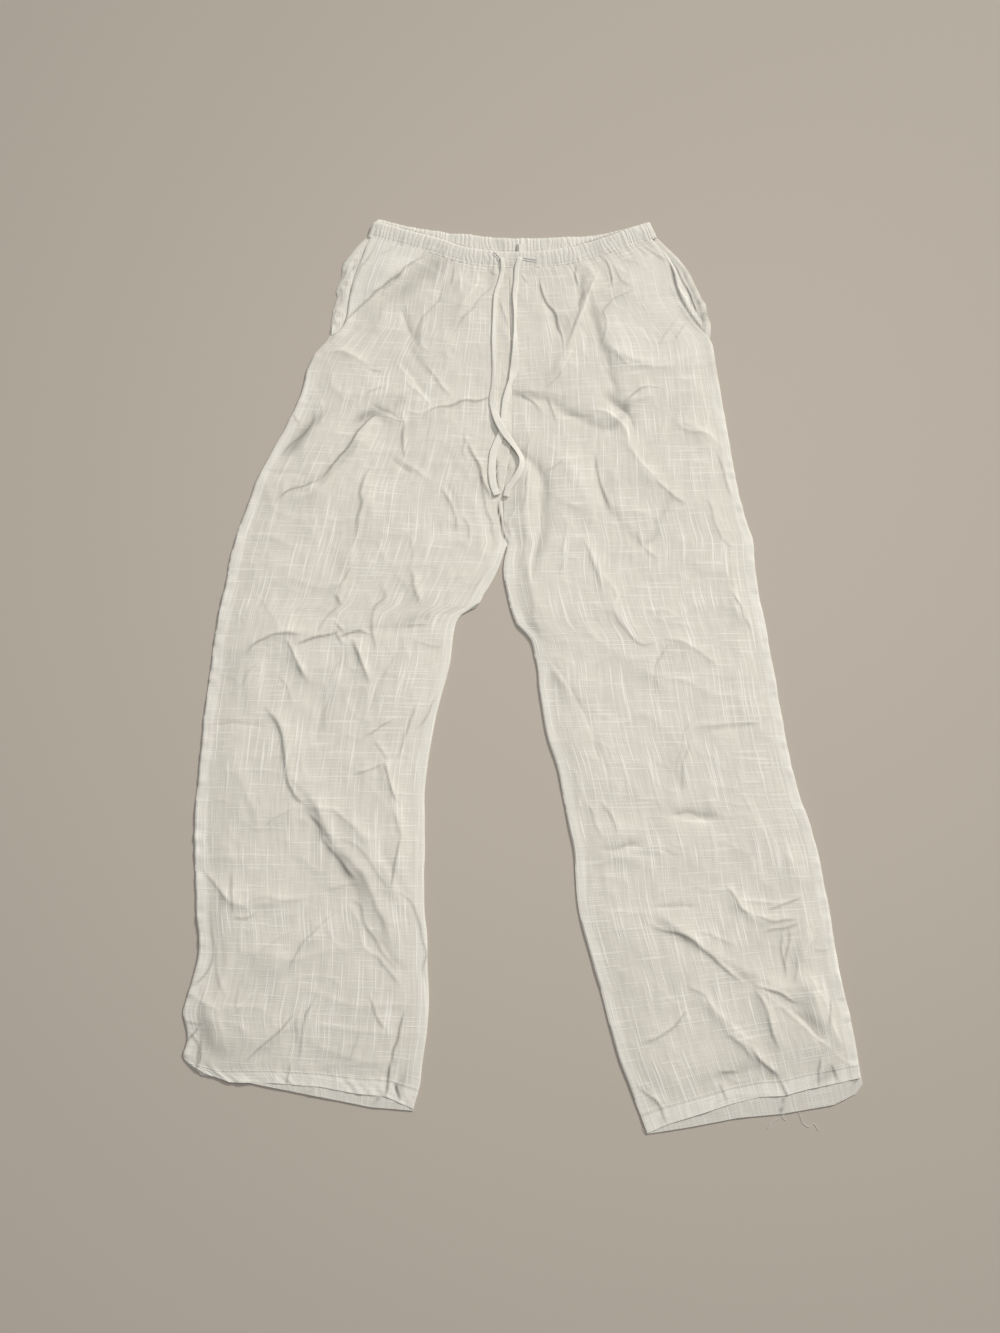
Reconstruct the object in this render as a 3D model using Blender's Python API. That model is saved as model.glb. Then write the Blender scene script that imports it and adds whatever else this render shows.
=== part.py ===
"""Drawstring trousers of white slub linen, laid flat with the front up.

X runs across the garment, Y from the hems to the waist and Z up from the surface it lies on.
Suffix _r is the wearer's right leg, on the -X side, and _l the wearer's left leg.
The tables are in millimetres, and the meshes in metres.
"""

import math
from collections import namedtuple

import bpy
import numpy as np
from mathutils import Vector
from mathutils.bvhtree import BVHTree

# Driving sizes, in millimetres
MM = 0.001
SEAM_GAP = 0.3  # between two pieces that are sewn or lie on each other
WALL = 1.5  # a leg panel's cloth
HEM_WALL = 2.4  # the same cloth turned up twice at the hem
HEM_DEPTH = 20.0
LOFT = 2.6  # how far the front panel stands clear of the back one
EDGE_ROLL = 16.0  # width over which the front panel rolls down to its edge
SEAM_ROLL = 9.0
SEAM_SINK = 0.8  # the dip along the centre front seam
HEM_LOFT = 0.35  # share of the loft that is left at the hem
HEM_REACH = 60.0  # length over which the leg fills out above the hem
SWELL = 0.9  # height of the cloth's wide, slow unevenness
SOFT_GATHERS = 6.5  # waves that run down each front panel from the casing
SOFT_GATHER_RISE = 1.1
SOFT_GATHER_LENGTH = 95.0
FOOT_REACH = 90.0  # length over which a panel's rows bend to the casing's curve
BACK_FOOT_GAP = 0.7  # the back panels' coarser rows need more room at the casing
ROW_STEP = 18.0
BACK_ROW_STEP = 30.0
LEG_COLUMNS = 20
BACK_COLUMNS = 8

# The hollow in the centre front, above the crotch
HOLLOW_X = -13.0
HOLLOW_WIDTH = 9.0
HOLLOW_DEPTH = 3.2
HOLLOW_LOW_Y = 112.0
HOLLOW_HIGH_Y = 182.0

CASING_DEPTH = 22.0  # the elastic casing at the waist
CASING_LOW = 2.0
CASING_HIGH = 3.3
GATHERS = 56  # pleats of the casing, on the front and again on the back
GATHER_RISE = 0.7

CASING_DEPTHS = (0, 0.26, 0.74, 1)  # shares of its depth, from the top edge down
CASING_FULLNESS = (0, 1, 1, 0.25)
CASING_DIP = 1.8  # how far the front casing sinks in the middle of the garment
LINE_STEP = 4.0

MOUTH_Y = 368.0  # the lower end of the slanted pocket mouths
MOUTH_WIDTH = 60.0  # width over which the pocket bag lifts the front panel there
BAG_WALL = 1.2
BAG_ROW_STEP = 12.0
BAG_COLUMNS = 8
BAG_TOP_Y = 325.0  # a front panel lies on the pocket bag above this line,
BAG_INNER_X = 92.0  # and outside this one
LABEL_WIDTH = 10.0
LABEL_LENGTH = 12.5
LABEL_WALL = 0.8
LABEL_X = 1.5
LABEL_Y = 499.0
TIE_WIDTH = 7.0  # the drawstring is a flat tape, and its tube has the same girth
TIE_THICKNESS = 1.2
TIE_TUBE = 2 * (TIE_WIDTH + TIE_THICKNESS) / math.pi
TIE_POINT_STEP = 2.2 * TIE_TUBE
PROBE_HEIGHT = 100.0  # the surface under the drawstring is looked for from here down
TIE_SIDES = 2  # bevel resolution, which gives eight sides

FRONT_LOW = WALL + SEAM_GAP  # the front panel's underside where it meets the back panel
BAG_LOW = WALL + SEAM_GAP
BAG_HIGH = BAG_LOW + BAG_WALL
CASING_ON_TOP = CASING_HIGH + GATHER_RISE + SEAM_GAP  # the front casing lies on the back one

# The two casings' top edges, left to right
FRONT_WAIST = (
    (-184, 532), (-135, 518), (-103, 509), (-65, 496), (-20, 491),
    (20, 492), (63, 499), (95, 510), (132, 524), (165, 538),
)
BACK_WAIST = ((-181, 538), (-122, 523), (-66, 516), (-5, 512), (57, 514), (108, 520), (168, 539))

# A section runs across one leg panel, from the outseam to the inseam or the centre seam.
Section = namedtuple("Section", "outer_x outer_y inner_x inner_y bow")

LEG_R = (
    Section(-341, -476, -115, -513, 3),
    Section(-357, -458, -108, -482, 2),
    Section(-352, -434, -102, -448, 0),
    Section(-359, -402, -101, -414, 0),
    Section(-348, -370, -101, -378, 0),
    Section(-354, -300, -106, -303, 0),
    Section(-360.8, -235, -108, -236, 0),
    Section(-360, -170, -107, -171, 0),
    Section(-359, -100, -97, -101, 0),
    Section(-354, -35, -80, -35, 0),
    Section(-350, 10, -74, 8, 0),
    Section(-344, 50, -43, 48, 0),
    Section(-339, 90, -26, 80, 0),
    Section(-333, 120, -16, 106, 0),
)
BODY_R = (
    Section(-333, 120, -16, 106, 0),
    Section(-322, 155, -20, 140, 0),
    Section(-315, 182, -20, 170, 0),
    Section(-298, 222, -15, 205, 0),
    Section(-283, 254, -11, 240, 0),
    Section(-266, 295, -10, 285, 0),
    Section(-250, 346, -10, 330, 0),
    Section(-233, 378, -11, 365, 0),
    Section(-219, 402, -12, 400, 0),
    Section(-209, 446, -13, 432, 0),
    Section(-199, 474, -13, 450, 0),
    Section(-187, 504, -14, 469, 0),
)
LEG_L = (
    Section(359, -485, 129, -538, 5),
    Section(358, -462, 117, -508, 3),
    Section(354, -428, 103, -468, 0),
    Section(346, -390, 90, -422, 0),
    Section(341, -345, 77, -370, 0),
    Section(337, -300, 62, -314, 0),
    Section(327, -240, 56, -245, 0),
    Section(309, -172, 43, -174, 0),
    Section(299, -100, 24, -100, 0),
    Section(291, -35, 16, -35, 0),
    Section(284, 20, -8, 15, 0),
    Section(279, 50, -16, 48, 0),
    Section(277, 85, -20, 78, 0),
    Section(276, 118, -16, 106, 0),
)
BODY_L = (
    Section(276, 118, -16, 106, 0),
    Section(267, 155, -20, 140, 0),
    Section(262, 182, -20, 170, 0),
    Section(258, 214, -15, 205, 0),
    Section(254, 245, -11, 240, 0),
    Section(249, 290, -10, 285, 0),
    Section(242, 345, -10, 330, 0),
    Section(238, 374, -11, 365, 0),
    Section(215, 404, -12, 400, 0),
    Section(196, 440, -13, 432, 0),
    Section(189, 474, -13, 450, 0),
    Section(168, 504, -14, 469, 0),
)

# The back panels keep the same inseams and centre seam. Their hems show below the front ones,
# and their outseams run on past the pocket mouths.
BACK_HEM_R = Section(-341, -479, -115, -515, -6)
BACK_HEM_L = Section(361, -491, 129, -539, -6)
BACK_HIP_R = ((-236, 378), (-231, 404), (-223, 446), (-216, 472), (-199, 507))
BACK_HIP_L = ((240, 374), (238, 404), (228, 440), (214, 474), (186, 512))

# A fold's line is walked from its first point to its last. Left and right are the widths of
# its two slopes, and a negative rise is a trough.
Fold = namedtuple("Fold", "rise left right line")

FOLDS_R = (
    Fold(7.0, 24, 11, ((-290, -92), (-265, -138), (-250, -185), (-205, -245), (-160, -335))),
    Fold(5.0, 24, 10, ((-158, 262), (-188, 250), (-222, 200), (-282, 160))),
    Fold(3.0, 16, 14, ((-180, 196), (-192, 120), (-226, 18))),
    Fold(3.0, 12, 12, ((-322, -34), (-284, -8), (-206, -6))),
    Fold(2.8, 10, 12, ((-271, -12), (-240, -64))),
    Fold(2.8, 10, 12, ((-191, -8), (-170, -70))),
    Fold(2.6, 12, 12, ((-126, 70), (-116, 30))),
    Fold(3.2, 20, 14, ((-203, -192), (-160, -256), (-138, -292), (-110, -330))),
    Fold(3.0, 10, 12, ((-164, -128), (-146, -180), (-132, -240), (-142, -290))),
    Fold(3.2, 12, 18, ((-196, -314), (-232, -346), (-284, -392))),
    Fold(3.4, 12, 14, ((-222, -404), (-252, -434), (-284, -462))),
    Fold(3.2, 12, 12, ((-346, -268), (-322, -298), (-240, -300))),
    Fold(4.0, 12, 14, ((-348, -352), (-338, -400), (-320, -462))),
    Fold(-3.0, 9, 10, ((-125, -404), (-136, -455), (-144, -500))),
    Fold(2.6, 12, 12, ((-252, 352), (-206, 348), (-176, 320))),
    Fold(2.4, 14, 12, ((-142, 252), (-104, 272), (-36, 297))),
    Fold(3.2, 22, 9, ((-240, 362), (-181, 433), (-137, 473), (-104, 484))),
    Fold(-2.4, 10, 14, ((-150, 345), (-108, 282))),
    Fold(3.0, 10, 12, ((-52, 462), (-70, 418), (-84, 380))),
)
FOLDS_L = (
    Fold(4.4, 14, 12, ((82, 275), (120, 264), (132, 230), (160, 187), (204, 155))),
    Fold(4.2, 14, 10, ((110, 288), (140, 290), (172, 306))),
    Fold(2.8, 12, 12, ((186, 268), (222, 250), (244, 232))),
    Fold(-3.0, 14, 12, ((86, 230), (94, 188), (110, 148))),
    Fold(3.2, 12, 16, ((66, 124), (92, 74), (112, 24), (152, -14))),
    Fold(3.0, 12, 14, ((160, -4), (198, -14), (230, -42))),
    Fold(4.0, 12, 11, ((2, 234), (5, 147), (10, 60), (32, -34), (66, -80))),
    Fold(3.2, 12, 12, ((242, 62), (250, 32), (268, 0))),
    Fold(3.6, 16, 12, ((94, -262), (130, -247), (178, -254))),
    Fold(-2.4, 12, 14, ((158, -206), (226, -218))),
    Fold(3.4, 12, 12, ((192, -98), (178, -137), (172, -178))),
    Fold(7.0, 20, 11, ((138, -318), (198, -358), (252, -388), (298, -408))),
    Fold(3.4, 12, 12, ((246, -388), (262, -425), (275, -458))),
    Fold(6.0, 12, 17, ((298, -368), (316, -412), (344, -462))),
    Fold(4.2, 16, 11, ((174, -388), (232, -446), (274, -486))),
    Fold(3.0, 14, 11, ((219, -286), (246, -318), (306, -324))),
    Fold(3.2, 11, 11, ((328, -304), (308, -341), (294, -376))),
    Fold(-3.4, 10, 10, ((24, 456), (40, 408), (52, 366))),
    Fold(4.2, 12, 11, ((98, 468), (77, 412), (60, 366), (34, 304))),
    Fold(2.4, 12, 10, ((104, 408), (101, 370), (122, 352), (190, 340))),
)

# The pocket bags, in sections from the bottom of the bag up: outline side first.
BAG_R = (
    Section(-236, 380, -228, 384, 0),
    Section(-230, 402, -208, 404, 0),
    Section(-226, 426, -184, 428, 0),
    Section(-221, 450, -160, 452, 0),
    Section(-213, 474, -140, 472, 0),
    Section(-203, 494, -150, 485, 0),
    Section(-197, 501, -165, 492, 0),
)
BAG_L = (
    Section(176, 336, 142, 336, 0),
    Section(205, 346, 120, 348, 0),
    Section(222, 362, 104, 368, 0),
    Section(235, 386, 100, 394, 0),
    Section(235, 412, 104, 416, 0),
    Section(225, 440, 112, 434, 0),
    Section(212, 470, 126, 450, 0),
    Section(194, 494, 140, 470, 0),
    Section(182, 504, 152, 486, 0),
)

# The drawstring's two free ends, from their buttonholes down
TIE_R = (
    (-22, 482), (-21, 470), (-24, 452), (-29, 434), (-31, 409), (-32, 383), (-32, 356), (-31, 330),
    (-32, 309), (-34, 293), (-32, 277), (-27, 260), (-19, 245), (-10, 233), (-3, 222), (1, 212),
    (1, 202), (-3, 192), (-9, 183), (-15, 174), (-18, 164),
)
TIE_L = (
    (1, 483), (-3, 470), (-4, 452), (-6, 433), (-6, 410), (-6, 388), (-6, 368), (-6, 350),
    (-7, 333), (-10, 318), (-14, 306), (-17, 292), (-19, 277), (-20, 262), (-22, 248), (-27, 235),
    (-32, 221), (-34, 206), (-34, 190), (-32, 177), (-28, 166),
)


def clear_scene():
    for thing in list(bpy.data.objects):
        bpy.data.objects.remove(thing, do_unlink=True)


def cloth(name, colour, roughness):
    material = bpy.data.materials.new(name)
    material.use_nodes = True
    surface = material.node_tree.nodes["Principled BSDF"]
    surface.inputs["Base Color"].default_value = (*colour, 1)
    surface.inputs["Roughness"].default_value = roughness
    surface.inputs["Metallic"].default_value = 0
    return material


def mesh_object(name, points, faces, material):
    """One object from points in millimetres."""
    mesh = bpy.data.meshes.new(name)
    mesh.from_pydata([tuple(float(c) * MM for c in point) for point in points], [], faces)
    mesh.materials.append(material)
    mesh.shade_smooth()
    mesh.set_sharp_from_angle(angle=math.radians(50))
    made = bpy.data.objects.new(name, mesh)
    bpy.context.collection.objects.link(made)
    return made


def smoothstep(low, high, value):
    part = np.clip((value - low) / (high - low), 0, 1)
    return part * part * (3 - 2 * part)


def lengths(points):
    """How far along a line of points each one lies."""
    return np.r_[0, np.cumsum(np.hypot(*np.diff(points[:, :2], axis=0).T))]


def smooth_rows(rows, along, at):
    """The rows' values at the given distances, on a smooth curve through all of them."""
    rows = np.asarray(rows, float)
    slopes = np.gradient(rows, along, axis=0)
    k = np.clip(np.searchsorted(along, at, side="right") - 1, 0, len(along) - 2)
    span = (along[k + 1] - along[k])[:, None]
    s = ((at - along[k])[:, None]) / span
    start = (1 + 2 * s) * (1 - s) ** 2 * rows[k] + s * (1 - s) ** 2 * span * slopes[k]
    end = s * s * (3 - 2 * s) * rows[k + 1] - s * s * (1 - s) * span * slopes[k + 1]
    return start + end


def smooth_line(points, step):
    points = np.asarray(points, float)
    along = lengths(points)
    count = max(2, round(along[-1] / step))
    return smooth_rows(points, along, np.linspace(0, along[-1], count + 1))


def waist_normals(line):
    """Unit vectors that point from a waist line down into its casing."""
    run = np.gradient(line, axis=0)
    run /= np.hypot(run[:, 0], run[:, 1])[:, None]
    return np.c_[run[:, 1], -run[:, 0]]


def casing_foot(waist):
    """The lower edge of the casing below a waist line."""
    line = smooth_line(waist, LINE_STEP)
    return line + waist_normals(line) * CASING_DEPTH


def fold_heights(x, y, folds):
    """The sum of all folds' heights at each point of a grid."""
    total = np.zeros_like(x)
    for fold in folds:
        line = smooth_line(fold.line, 6)
        along = lengths(line)
        best = np.full(x.shape, np.inf)
        signed = np.zeros_like(x)
        place = np.zeros_like(x)
        for k in range(len(line) - 1):
            run = line[k + 1] - line[k]
            size = np.hypot(*run)
            dx = x - line[k, 0]
            dy = y - line[k, 1]
            t = np.clip((dx * run[0] + dy * run[1]) / size**2, 0, 1)
            away = np.hypot(dx - t * run[0], dy - t * run[1])
            nearer = away < best
            best = np.where(nearer, away, best)
            signed = np.where(nearer, run[0] * dy - run[1] * dx, signed)
            place = np.where(nearer, along[k] + t * size, place)
        width = np.where(signed > 0, fold.left, fold.right)
        fade = min(0.35 * along[-1], 30)
        ends = smoothstep(-6, fade, place) * smoothstep(-6, fade, along[-1] - place)
        total += fold.rise * ends * np.exp(-((best / width) ** 2))
    return total


def column_places(count):
    """Even steps drawn towards both edges, so that the rolled edges get more of them."""
    s = np.linspace(0, 1, count + 1)
    return 0.55 * s + 0.45 * (1 - np.cos(math.pi * s)) / 2


def table_rows(table, row_step):
    """A table of sections, how far up its inner edge each one lies, and even steps along it."""
    table = np.array(table, float)
    along = lengths(table[:, 2:4])
    return table, along, np.linspace(0, along[-1], round(along[-1] / row_step) + 1)


class Plan:
    """The grid of one leg panel, seen from above: rows from the hem to the waist."""

    def __init__(self, leg, body, foot, columns, row_step, side, foot_gap):
        table, along, at = table_rows(leg, row_step)
        at[1] = HEM_DEPTH
        leg_rows = smooth_rows(table, along, at)
        table, along, at = table_rows(body, row_step)
        rows = np.concatenate([leg_rows, smooth_rows(table, along, at)[1:]])
        crotch = len(leg_rows) - 1
        number = np.arange(len(rows))
        outer_x, outer_y, inner_x, inner_y, bow = rows.T[:, :, None]
        # From the crotch up, the two legs' panels meet at the centre seam.
        inner_x = inner_x + side * SEAM_GAP / 2 * smoothstep(crotch - 1, crotch, number)[:, None]
        t = column_places(columns)[None, :]
        width = np.hypot(inner_x - outer_x, inner_y - outer_y)
        self.x = outer_x + (inner_x - outer_x) * t
        self.y = outer_y + (inner_y - outer_y) * t + bow * 4 * t * (1 - t)
        # The last rows bend to the curve of the casing that they are sewn to.
        order = np.argsort(foot[:, 0])
        edge = np.interp(self.x[-1], foot[order, 0], foot[order, 1]) - foot_gap
        pull = smoothstep(FOOT_REACH, 0, inner_y[-1] - inner_y)
        self.y += pull * (edge - self.y[-1])
        self.t = t
        self.from_outer = t * width
        self.from_inner = (1 - t) * width
        self.joined = smoothstep(crotch - 1, crotch + 2, number)[:, None]
        self.up_leg = lengths(rows[:, 2:4])[:, None]


def rolled(distance, reach):
    """A quarter-round profile: 0 at an edge, 1 from its reach inwards."""
    inward = np.clip(distance / reach, 0, 1)
    return np.sqrt(1 - (1 - inward) ** 2)


def front_heights(plan, folds, mouth_side):
    """The underside of a front panel, above the back panel and the pocket bag.

    mouth_side is -1 on the right leg and 1 on the left.
    """
    outer_edge = rolled(plan.from_outer, EDGE_ROLL)
    inner_edge = rolled(plan.from_inner, EDGE_ROLL)
    seam = 1 - (SEAM_SINK / LOFT) * (1 - rolled(plan.from_inner, SEAM_ROLL))
    inner = plan.joined * seam + (1 - plan.joined) * inner_edge
    mouth = smoothstep(MOUTH_Y - 18, MOUTH_Y + 18, plan.y)
    mouth = mouth * smoothstep(MOUTH_WIDTH, 10, plan.from_outer)
    hem = HEM_LOFT + (1 - HEM_LOFT) * smoothstep(0, HEM_REACH, plan.up_leg)
    swell = SWELL * np.sin(plan.x / 37 + plan.y / 61) * np.cos(plan.y / 47 - plan.x / 83)
    folded = swell + fold_heights(plan.x, plan.y, folds)
    z = FRONT_LOW + outer_edge * inner * (LOFT * hem + folded * (0.4 + 0.6 * hem))
    z += (BAG_WALL + 2 * SEAM_GAP) * mouth * (1 - 0.6 * outer_edge)
    # Soft gathers run down from the casing and die out below it.
    below = plan.up_leg[-1] - plan.up_leg
    phase = 2 * math.pi * SOFT_GATHERS * plan.t + 1.9 * np.sin(5 * plan.t) + mouth_side
    gathered = smoothstep(SOFT_GATHER_LENGTH, 0, below) * smoothstep(0, 12, plan.from_inner)
    z += SOFT_GATHER_RISE * np.sin(phase) * gathered * outer_edge
    hollow = np.exp(-(((plan.x - HOLLOW_X) / HOLLOW_WIDTH) ** 2))
    hollow = hollow * smoothstep(HOLLOW_LOW_Y - 12, HOLLOW_LOW_Y + 12, plan.y)
    z -= HOLLOW_DEPTH * hollow * smoothstep(HOLLOW_HIGH_Y + 18, HOLLOW_HIGH_Y - 18, plan.y)
    over_bag = (plan.y > BAG_TOP_Y) & (np.abs(plan.x) > BAG_INNER_X)
    return np.maximum(z, np.where(over_bag, BAG_HIGH + SEAM_GAP, FRONT_LOW))


def wall_faces(rows, columns):
    """Faces of a closed wall: top grid, bottom grid and the rim between them."""
    faces = []
    lower = rows * columns
    for i in range(rows - 1):
        for j in range(columns - 1):
            a = i * columns + j
            b = a + 1
            c = a + columns + 1
            d = a + columns
            faces.append((a, b, c, d))
            faces.append((d + lower, c + lower, b + lower, a + lower))
    rim = list(range(columns))
    rim += [i * columns + columns - 1 for i in range(1, rows)]
    rim += [(rows - 1) * columns + j for j in range(columns - 2, -1, -1)]
    rim += [i * columns for i in range(rows - 2, 0, -1)]
    for k, a in enumerate(rim):
        b = rim[(k + 1) % len(rim)]
        faces.append((b, a, a + lower, b + lower))
    return faces


def wall_object(name, x, y, low, high, material, mirrored=False):
    """A closed wall over one grid, between two height fields."""
    rows, columns = x.shape
    top = np.stack([x, y, high], axis=-1).reshape(-1, 3)
    bottom = np.stack([x, y, low], axis=-1).reshape(-1, 3)
    faces = wall_faces(rows, columns)
    if mirrored:
        faces = [face[::-1] for face in faces]
    return mesh_object(name, np.concatenate([top, bottom]), faces, material)


def front_panel(name, leg, body, folds, side, material):
    plan = Plan(leg, body, casing_foot(FRONT_WAIST), LEG_COLUMNS, ROW_STEP, side, SEAM_GAP)
    low = front_heights(plan, folds, side)
    wall = WALL + (HEM_WALL - WALL) * smoothstep(HEM_DEPTH + 14, HEM_DEPTH, plan.up_leg)
    return wall_object(name, plan.x, plan.y, low, low + wall, material, mirrored=side > 0)


def back_panel(name, leg, body, hem, hip, side, material):
    leg = (hem,) + leg[1:]
    bare = len(body) - len(hip)
    body = body[:bare] + tuple(
        Section(x, y, row.inner_x, row.inner_y, 0) for (x, y), row in zip(hip, body[bare:])
    )
    plan = Plan(leg, body, casing_foot(BACK_WAIST), BACK_COLUMNS, BACK_ROW_STEP, side, BACK_FOOT_GAP)
    low = np.zeros_like(plan.x)
    return wall_object(name, plan.x, plan.y, low, low + WALL, material, mirrored=side > 0)


def casing(name, waist, low, material):
    """One side of the elastic casing, with its gathers. low(x, depth) is its underside."""
    line = smooth_line(waist, LINE_STEP)
    along = lengths(line)
    steps = np.arange(2 * GATHERS + 1)
    uneven = steps + 0.35 * np.sin(steps * 1.9) * (steps % 2) + 0.5 * np.sin(steps / 5.3)
    uneven = (uneven - uneven[0]) / (uneven[-1] - uneven[0]) * along[-1]
    edge = smooth_rows(line, along, uneven)
    down = smooth_rows(waist_normals(line), along, uneven)
    depths = np.array(CASING_DEPTHS) * CASING_DEPTH
    fullness = np.array(CASING_FULLNESS)
    x = edge[:, :1] + down[:, :1] * depths
    y = edge[:, 1:] + down[:, 1:] * depths
    bottom = low(x, depths[None, :])
    ridge = np.where(steps % 2 == 0, 1.0, -1.0) * (0.75 + 0.25 * np.sin(steps * 0.7))
    thick = CASING_LOW + (CASING_HIGH - CASING_LOW) * fullness[None, :]
    top = bottom + thick + ridge[:, None] * GATHER_RISE * (0.5 + 0.5 * fullness[None, :])
    return wall_object(name, x, y, bottom, top, material)


def pocket_bag(name, sections, side, material):
    rows = np.array(sections, float)
    middles = (rows[:, 0:2] + rows[:, 2:4]) / 2
    along = lengths(middles)
    rows = smooth_rows(rows, along, np.linspace(0, along[-1], round(along[-1] / BAG_ROW_STEP) + 1))
    t = np.linspace(0, 1, BAG_COLUMNS + 1)[None, :]
    x = rows[:, :1] + (rows[:, 2:3] - rows[:, :1]) * t
    y = rows[:, 1:2] + (rows[:, 3:4] - rows[:, 1:2]) * t
    low = np.full_like(x, BAG_LOW)
    return wall_object(name, x, y, low, low + BAG_WALL, material, mirrored=side > 0)


def surface_of(things):
    """One tree of all the things' faces, for finding what a tie lies on."""
    points = []
    faces = []
    bpy.context.view_layer.update()
    graph = bpy.context.evaluated_depsgraph_get()
    for thing in things:
        evaluated = thing.evaluated_get(graph)
        mesh = evaluated.to_mesh()
        start = len(points)
        points += [vertex.co.copy() for vertex in mesh.vertices]
        faces += [[start + k for k in polygon.vertices] for polygon in mesh.polygons]
        evaluated.to_mesh_clear()
    return BVHTree.FromPolygons(points, faces)


def height_under(tree, x, y):
    start = Vector((x, y, PROBE_HEIGHT)) * MM
    hit = tree.ray_cast(start, Vector((0, 0, -1)))[0]
    return hit.z / MM if hit else 0.0


def tie(name, route, below, material):
    """A free end of the drawstring: a tube laid on the surface of what is below it."""
    tree = surface_of(below)
    radius = TIE_TUBE / 2
    fine = smooth_line(route, 1.5)
    run = np.gradient(fine, axis=0)
    run /= np.hypot(run[:, 0], run[:, 1])[:, None]
    needed = []
    for (x, y), (dx, dy) in zip(fine, run):
        sides = [k * radius for k in (-1, -0.5, 0, 0.5, 1)]
        ground = [height_under(tree, x - dy * k, y + dx * k) for k in sides]
        needed.append(max(ground) + radius + SEAM_GAP)
    needed = np.array(needed)
    along = lengths(fine)
    places = np.linspace(0, along[-1], math.ceil(along[-1] / TIE_POINT_STEP) + 1)
    flat = np.c_[np.interp(places, along, fine[:, 0]), np.interp(places, along, fine[:, 1])]
    points = []
    for place, (x, y) in zip(places, flat):
        near = np.abs(along - place) <= places[1] + 1.5
        points.append((x * MM, y * MM, needed[near].max() * MM))
    curve = bpy.data.curves.new(name, "CURVE")
    curve.dimensions = "3D"
    curve.bevel_depth = radius * MM
    curve.bevel_resolution = TIE_SIDES
    curve.use_fill_caps = True
    spline = curve.splines.new("POLY")
    spline.points.add(len(points) - 1)
    for target, point in zip(spline.points, points):
        target.co = (*point, 1)
    curve.materials.append(material)
    made = bpy.data.objects.new(name, curve)
    bpy.context.collection.objects.link(made)
    return made


def label(name, material):
    """The blank loop of tape that stands on the back casing."""
    half_width = LABEL_WIDTH / 2
    half_length = LABEL_LENGTH / 2
    x = np.array([[LABEL_X - half_width, LABEL_X + half_width]] * 2)
    y = np.array([[LABEL_Y - half_length] * 2, [LABEL_Y + half_length] * 2])
    low = np.full_like(x, CASING_ON_TOP)
    return wall_object(name, x, y, low, low + LABEL_WALL, material)


def back_casing_low(x, depth):
    return np.zeros_like(x + depth)


def front_casing_low(x, depth):
    """The front casing lies on the back one, and dips to the panels between the two sides."""
    sides = smoothstep(30, 90, np.abs(x + 9))
    dip = (1 - sides) * smoothstep(2, CASING_DEPTH, depth + 0 * x)
    return CASING_ON_TOP - CASING_DIP * dip


clear_scene()
linen = (0.80, 0.785, 0.74)
pale_linen = (0.84, 0.83, 0.79)
tape = (0.62, 0.61, 0.60)

back_r = back_panel(
    "back_panel_r", LEG_R, BODY_R, BACK_HEM_R, BACK_HIP_R, -1, cloth("back_linen_r", linen, 0.9)
)
back_l = back_panel(
    "back_panel_l", LEG_L, BODY_L, BACK_HEM_L, BACK_HIP_L, 1, cloth("back_linen_l", linen, 0.9)
)
back_casing = casing(
    "back_waistband", BACK_WAIST, back_casing_low, cloth("back_casing_linen", pale_linen, 0.88)
)
label("size_label_blank", cloth("label_tape", tape, 0.7))
bag_r = pocket_bag("pocket_bag_r", BAG_R, -1, cloth("pocket_linen_r", pale_linen, 0.9))
bag_l = pocket_bag("pocket_bag_l", BAG_L, 1, cloth("pocket_linen_l", pale_linen, 0.9))
front_r = front_panel(
    "front_panel_r", LEG_R, BODY_R, FOLDS_R, -1, cloth("front_linen_r", linen, 0.9)
)
front_l = front_panel(
    "front_panel_l", LEG_L, BODY_L, FOLDS_L, 1, cloth("front_linen_l", linen, 0.9)
)
front_casing = casing(
    "front_waistband", FRONT_WAIST, front_casing_low, cloth("front_casing_linen", pale_linen, 0.88)
)
fronts = [front_r, front_l, front_casing]
tie_l = tie("drawstring_l", TIE_L, fronts, cloth("tie_linen_l", pale_linen, 0.85))
tie("drawstring_r", TIE_R, fronts + [tie_l], cloth("tie_linen_r", pale_linen, 0.85))
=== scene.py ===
import math

import bpy
import numpy as np
from mathutils import Matrix, Vector
from mathutils.bvhtree import BVHTree


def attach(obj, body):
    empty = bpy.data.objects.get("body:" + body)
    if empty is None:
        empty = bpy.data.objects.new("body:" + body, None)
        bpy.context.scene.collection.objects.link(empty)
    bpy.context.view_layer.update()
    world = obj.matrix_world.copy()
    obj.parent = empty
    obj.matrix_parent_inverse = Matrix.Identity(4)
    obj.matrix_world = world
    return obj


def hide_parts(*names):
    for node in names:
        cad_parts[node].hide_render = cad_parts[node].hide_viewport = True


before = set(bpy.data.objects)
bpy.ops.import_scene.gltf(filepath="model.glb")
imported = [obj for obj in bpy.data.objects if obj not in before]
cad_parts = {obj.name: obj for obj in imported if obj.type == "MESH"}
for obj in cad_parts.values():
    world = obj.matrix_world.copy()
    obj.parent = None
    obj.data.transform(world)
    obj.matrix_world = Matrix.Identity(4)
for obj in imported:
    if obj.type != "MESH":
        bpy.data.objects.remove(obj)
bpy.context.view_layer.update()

# The tables are in millimetres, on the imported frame: x across, y from the hems to the waist, z up.
mm = 0.001
wholeBody = "root"  # the one body that every piece rides on


def addObject(name, data):
    made = bpy.data.objects.new(name, data)
    bpy.context.collection.objects.link(made)
    return made


def newMaterial(name, sockets):  # a material and its shader, with the shader's own sockets set
    material = bpy.data.materials.new(name)
    material.use_nodes = True
    shader = material.node_tree.nodes["Principled BSDF"]
    for socket, value in sockets.items():
        shader.inputs[socket].default_value = value
    return material, shader


print("camera, floor and light")

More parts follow.
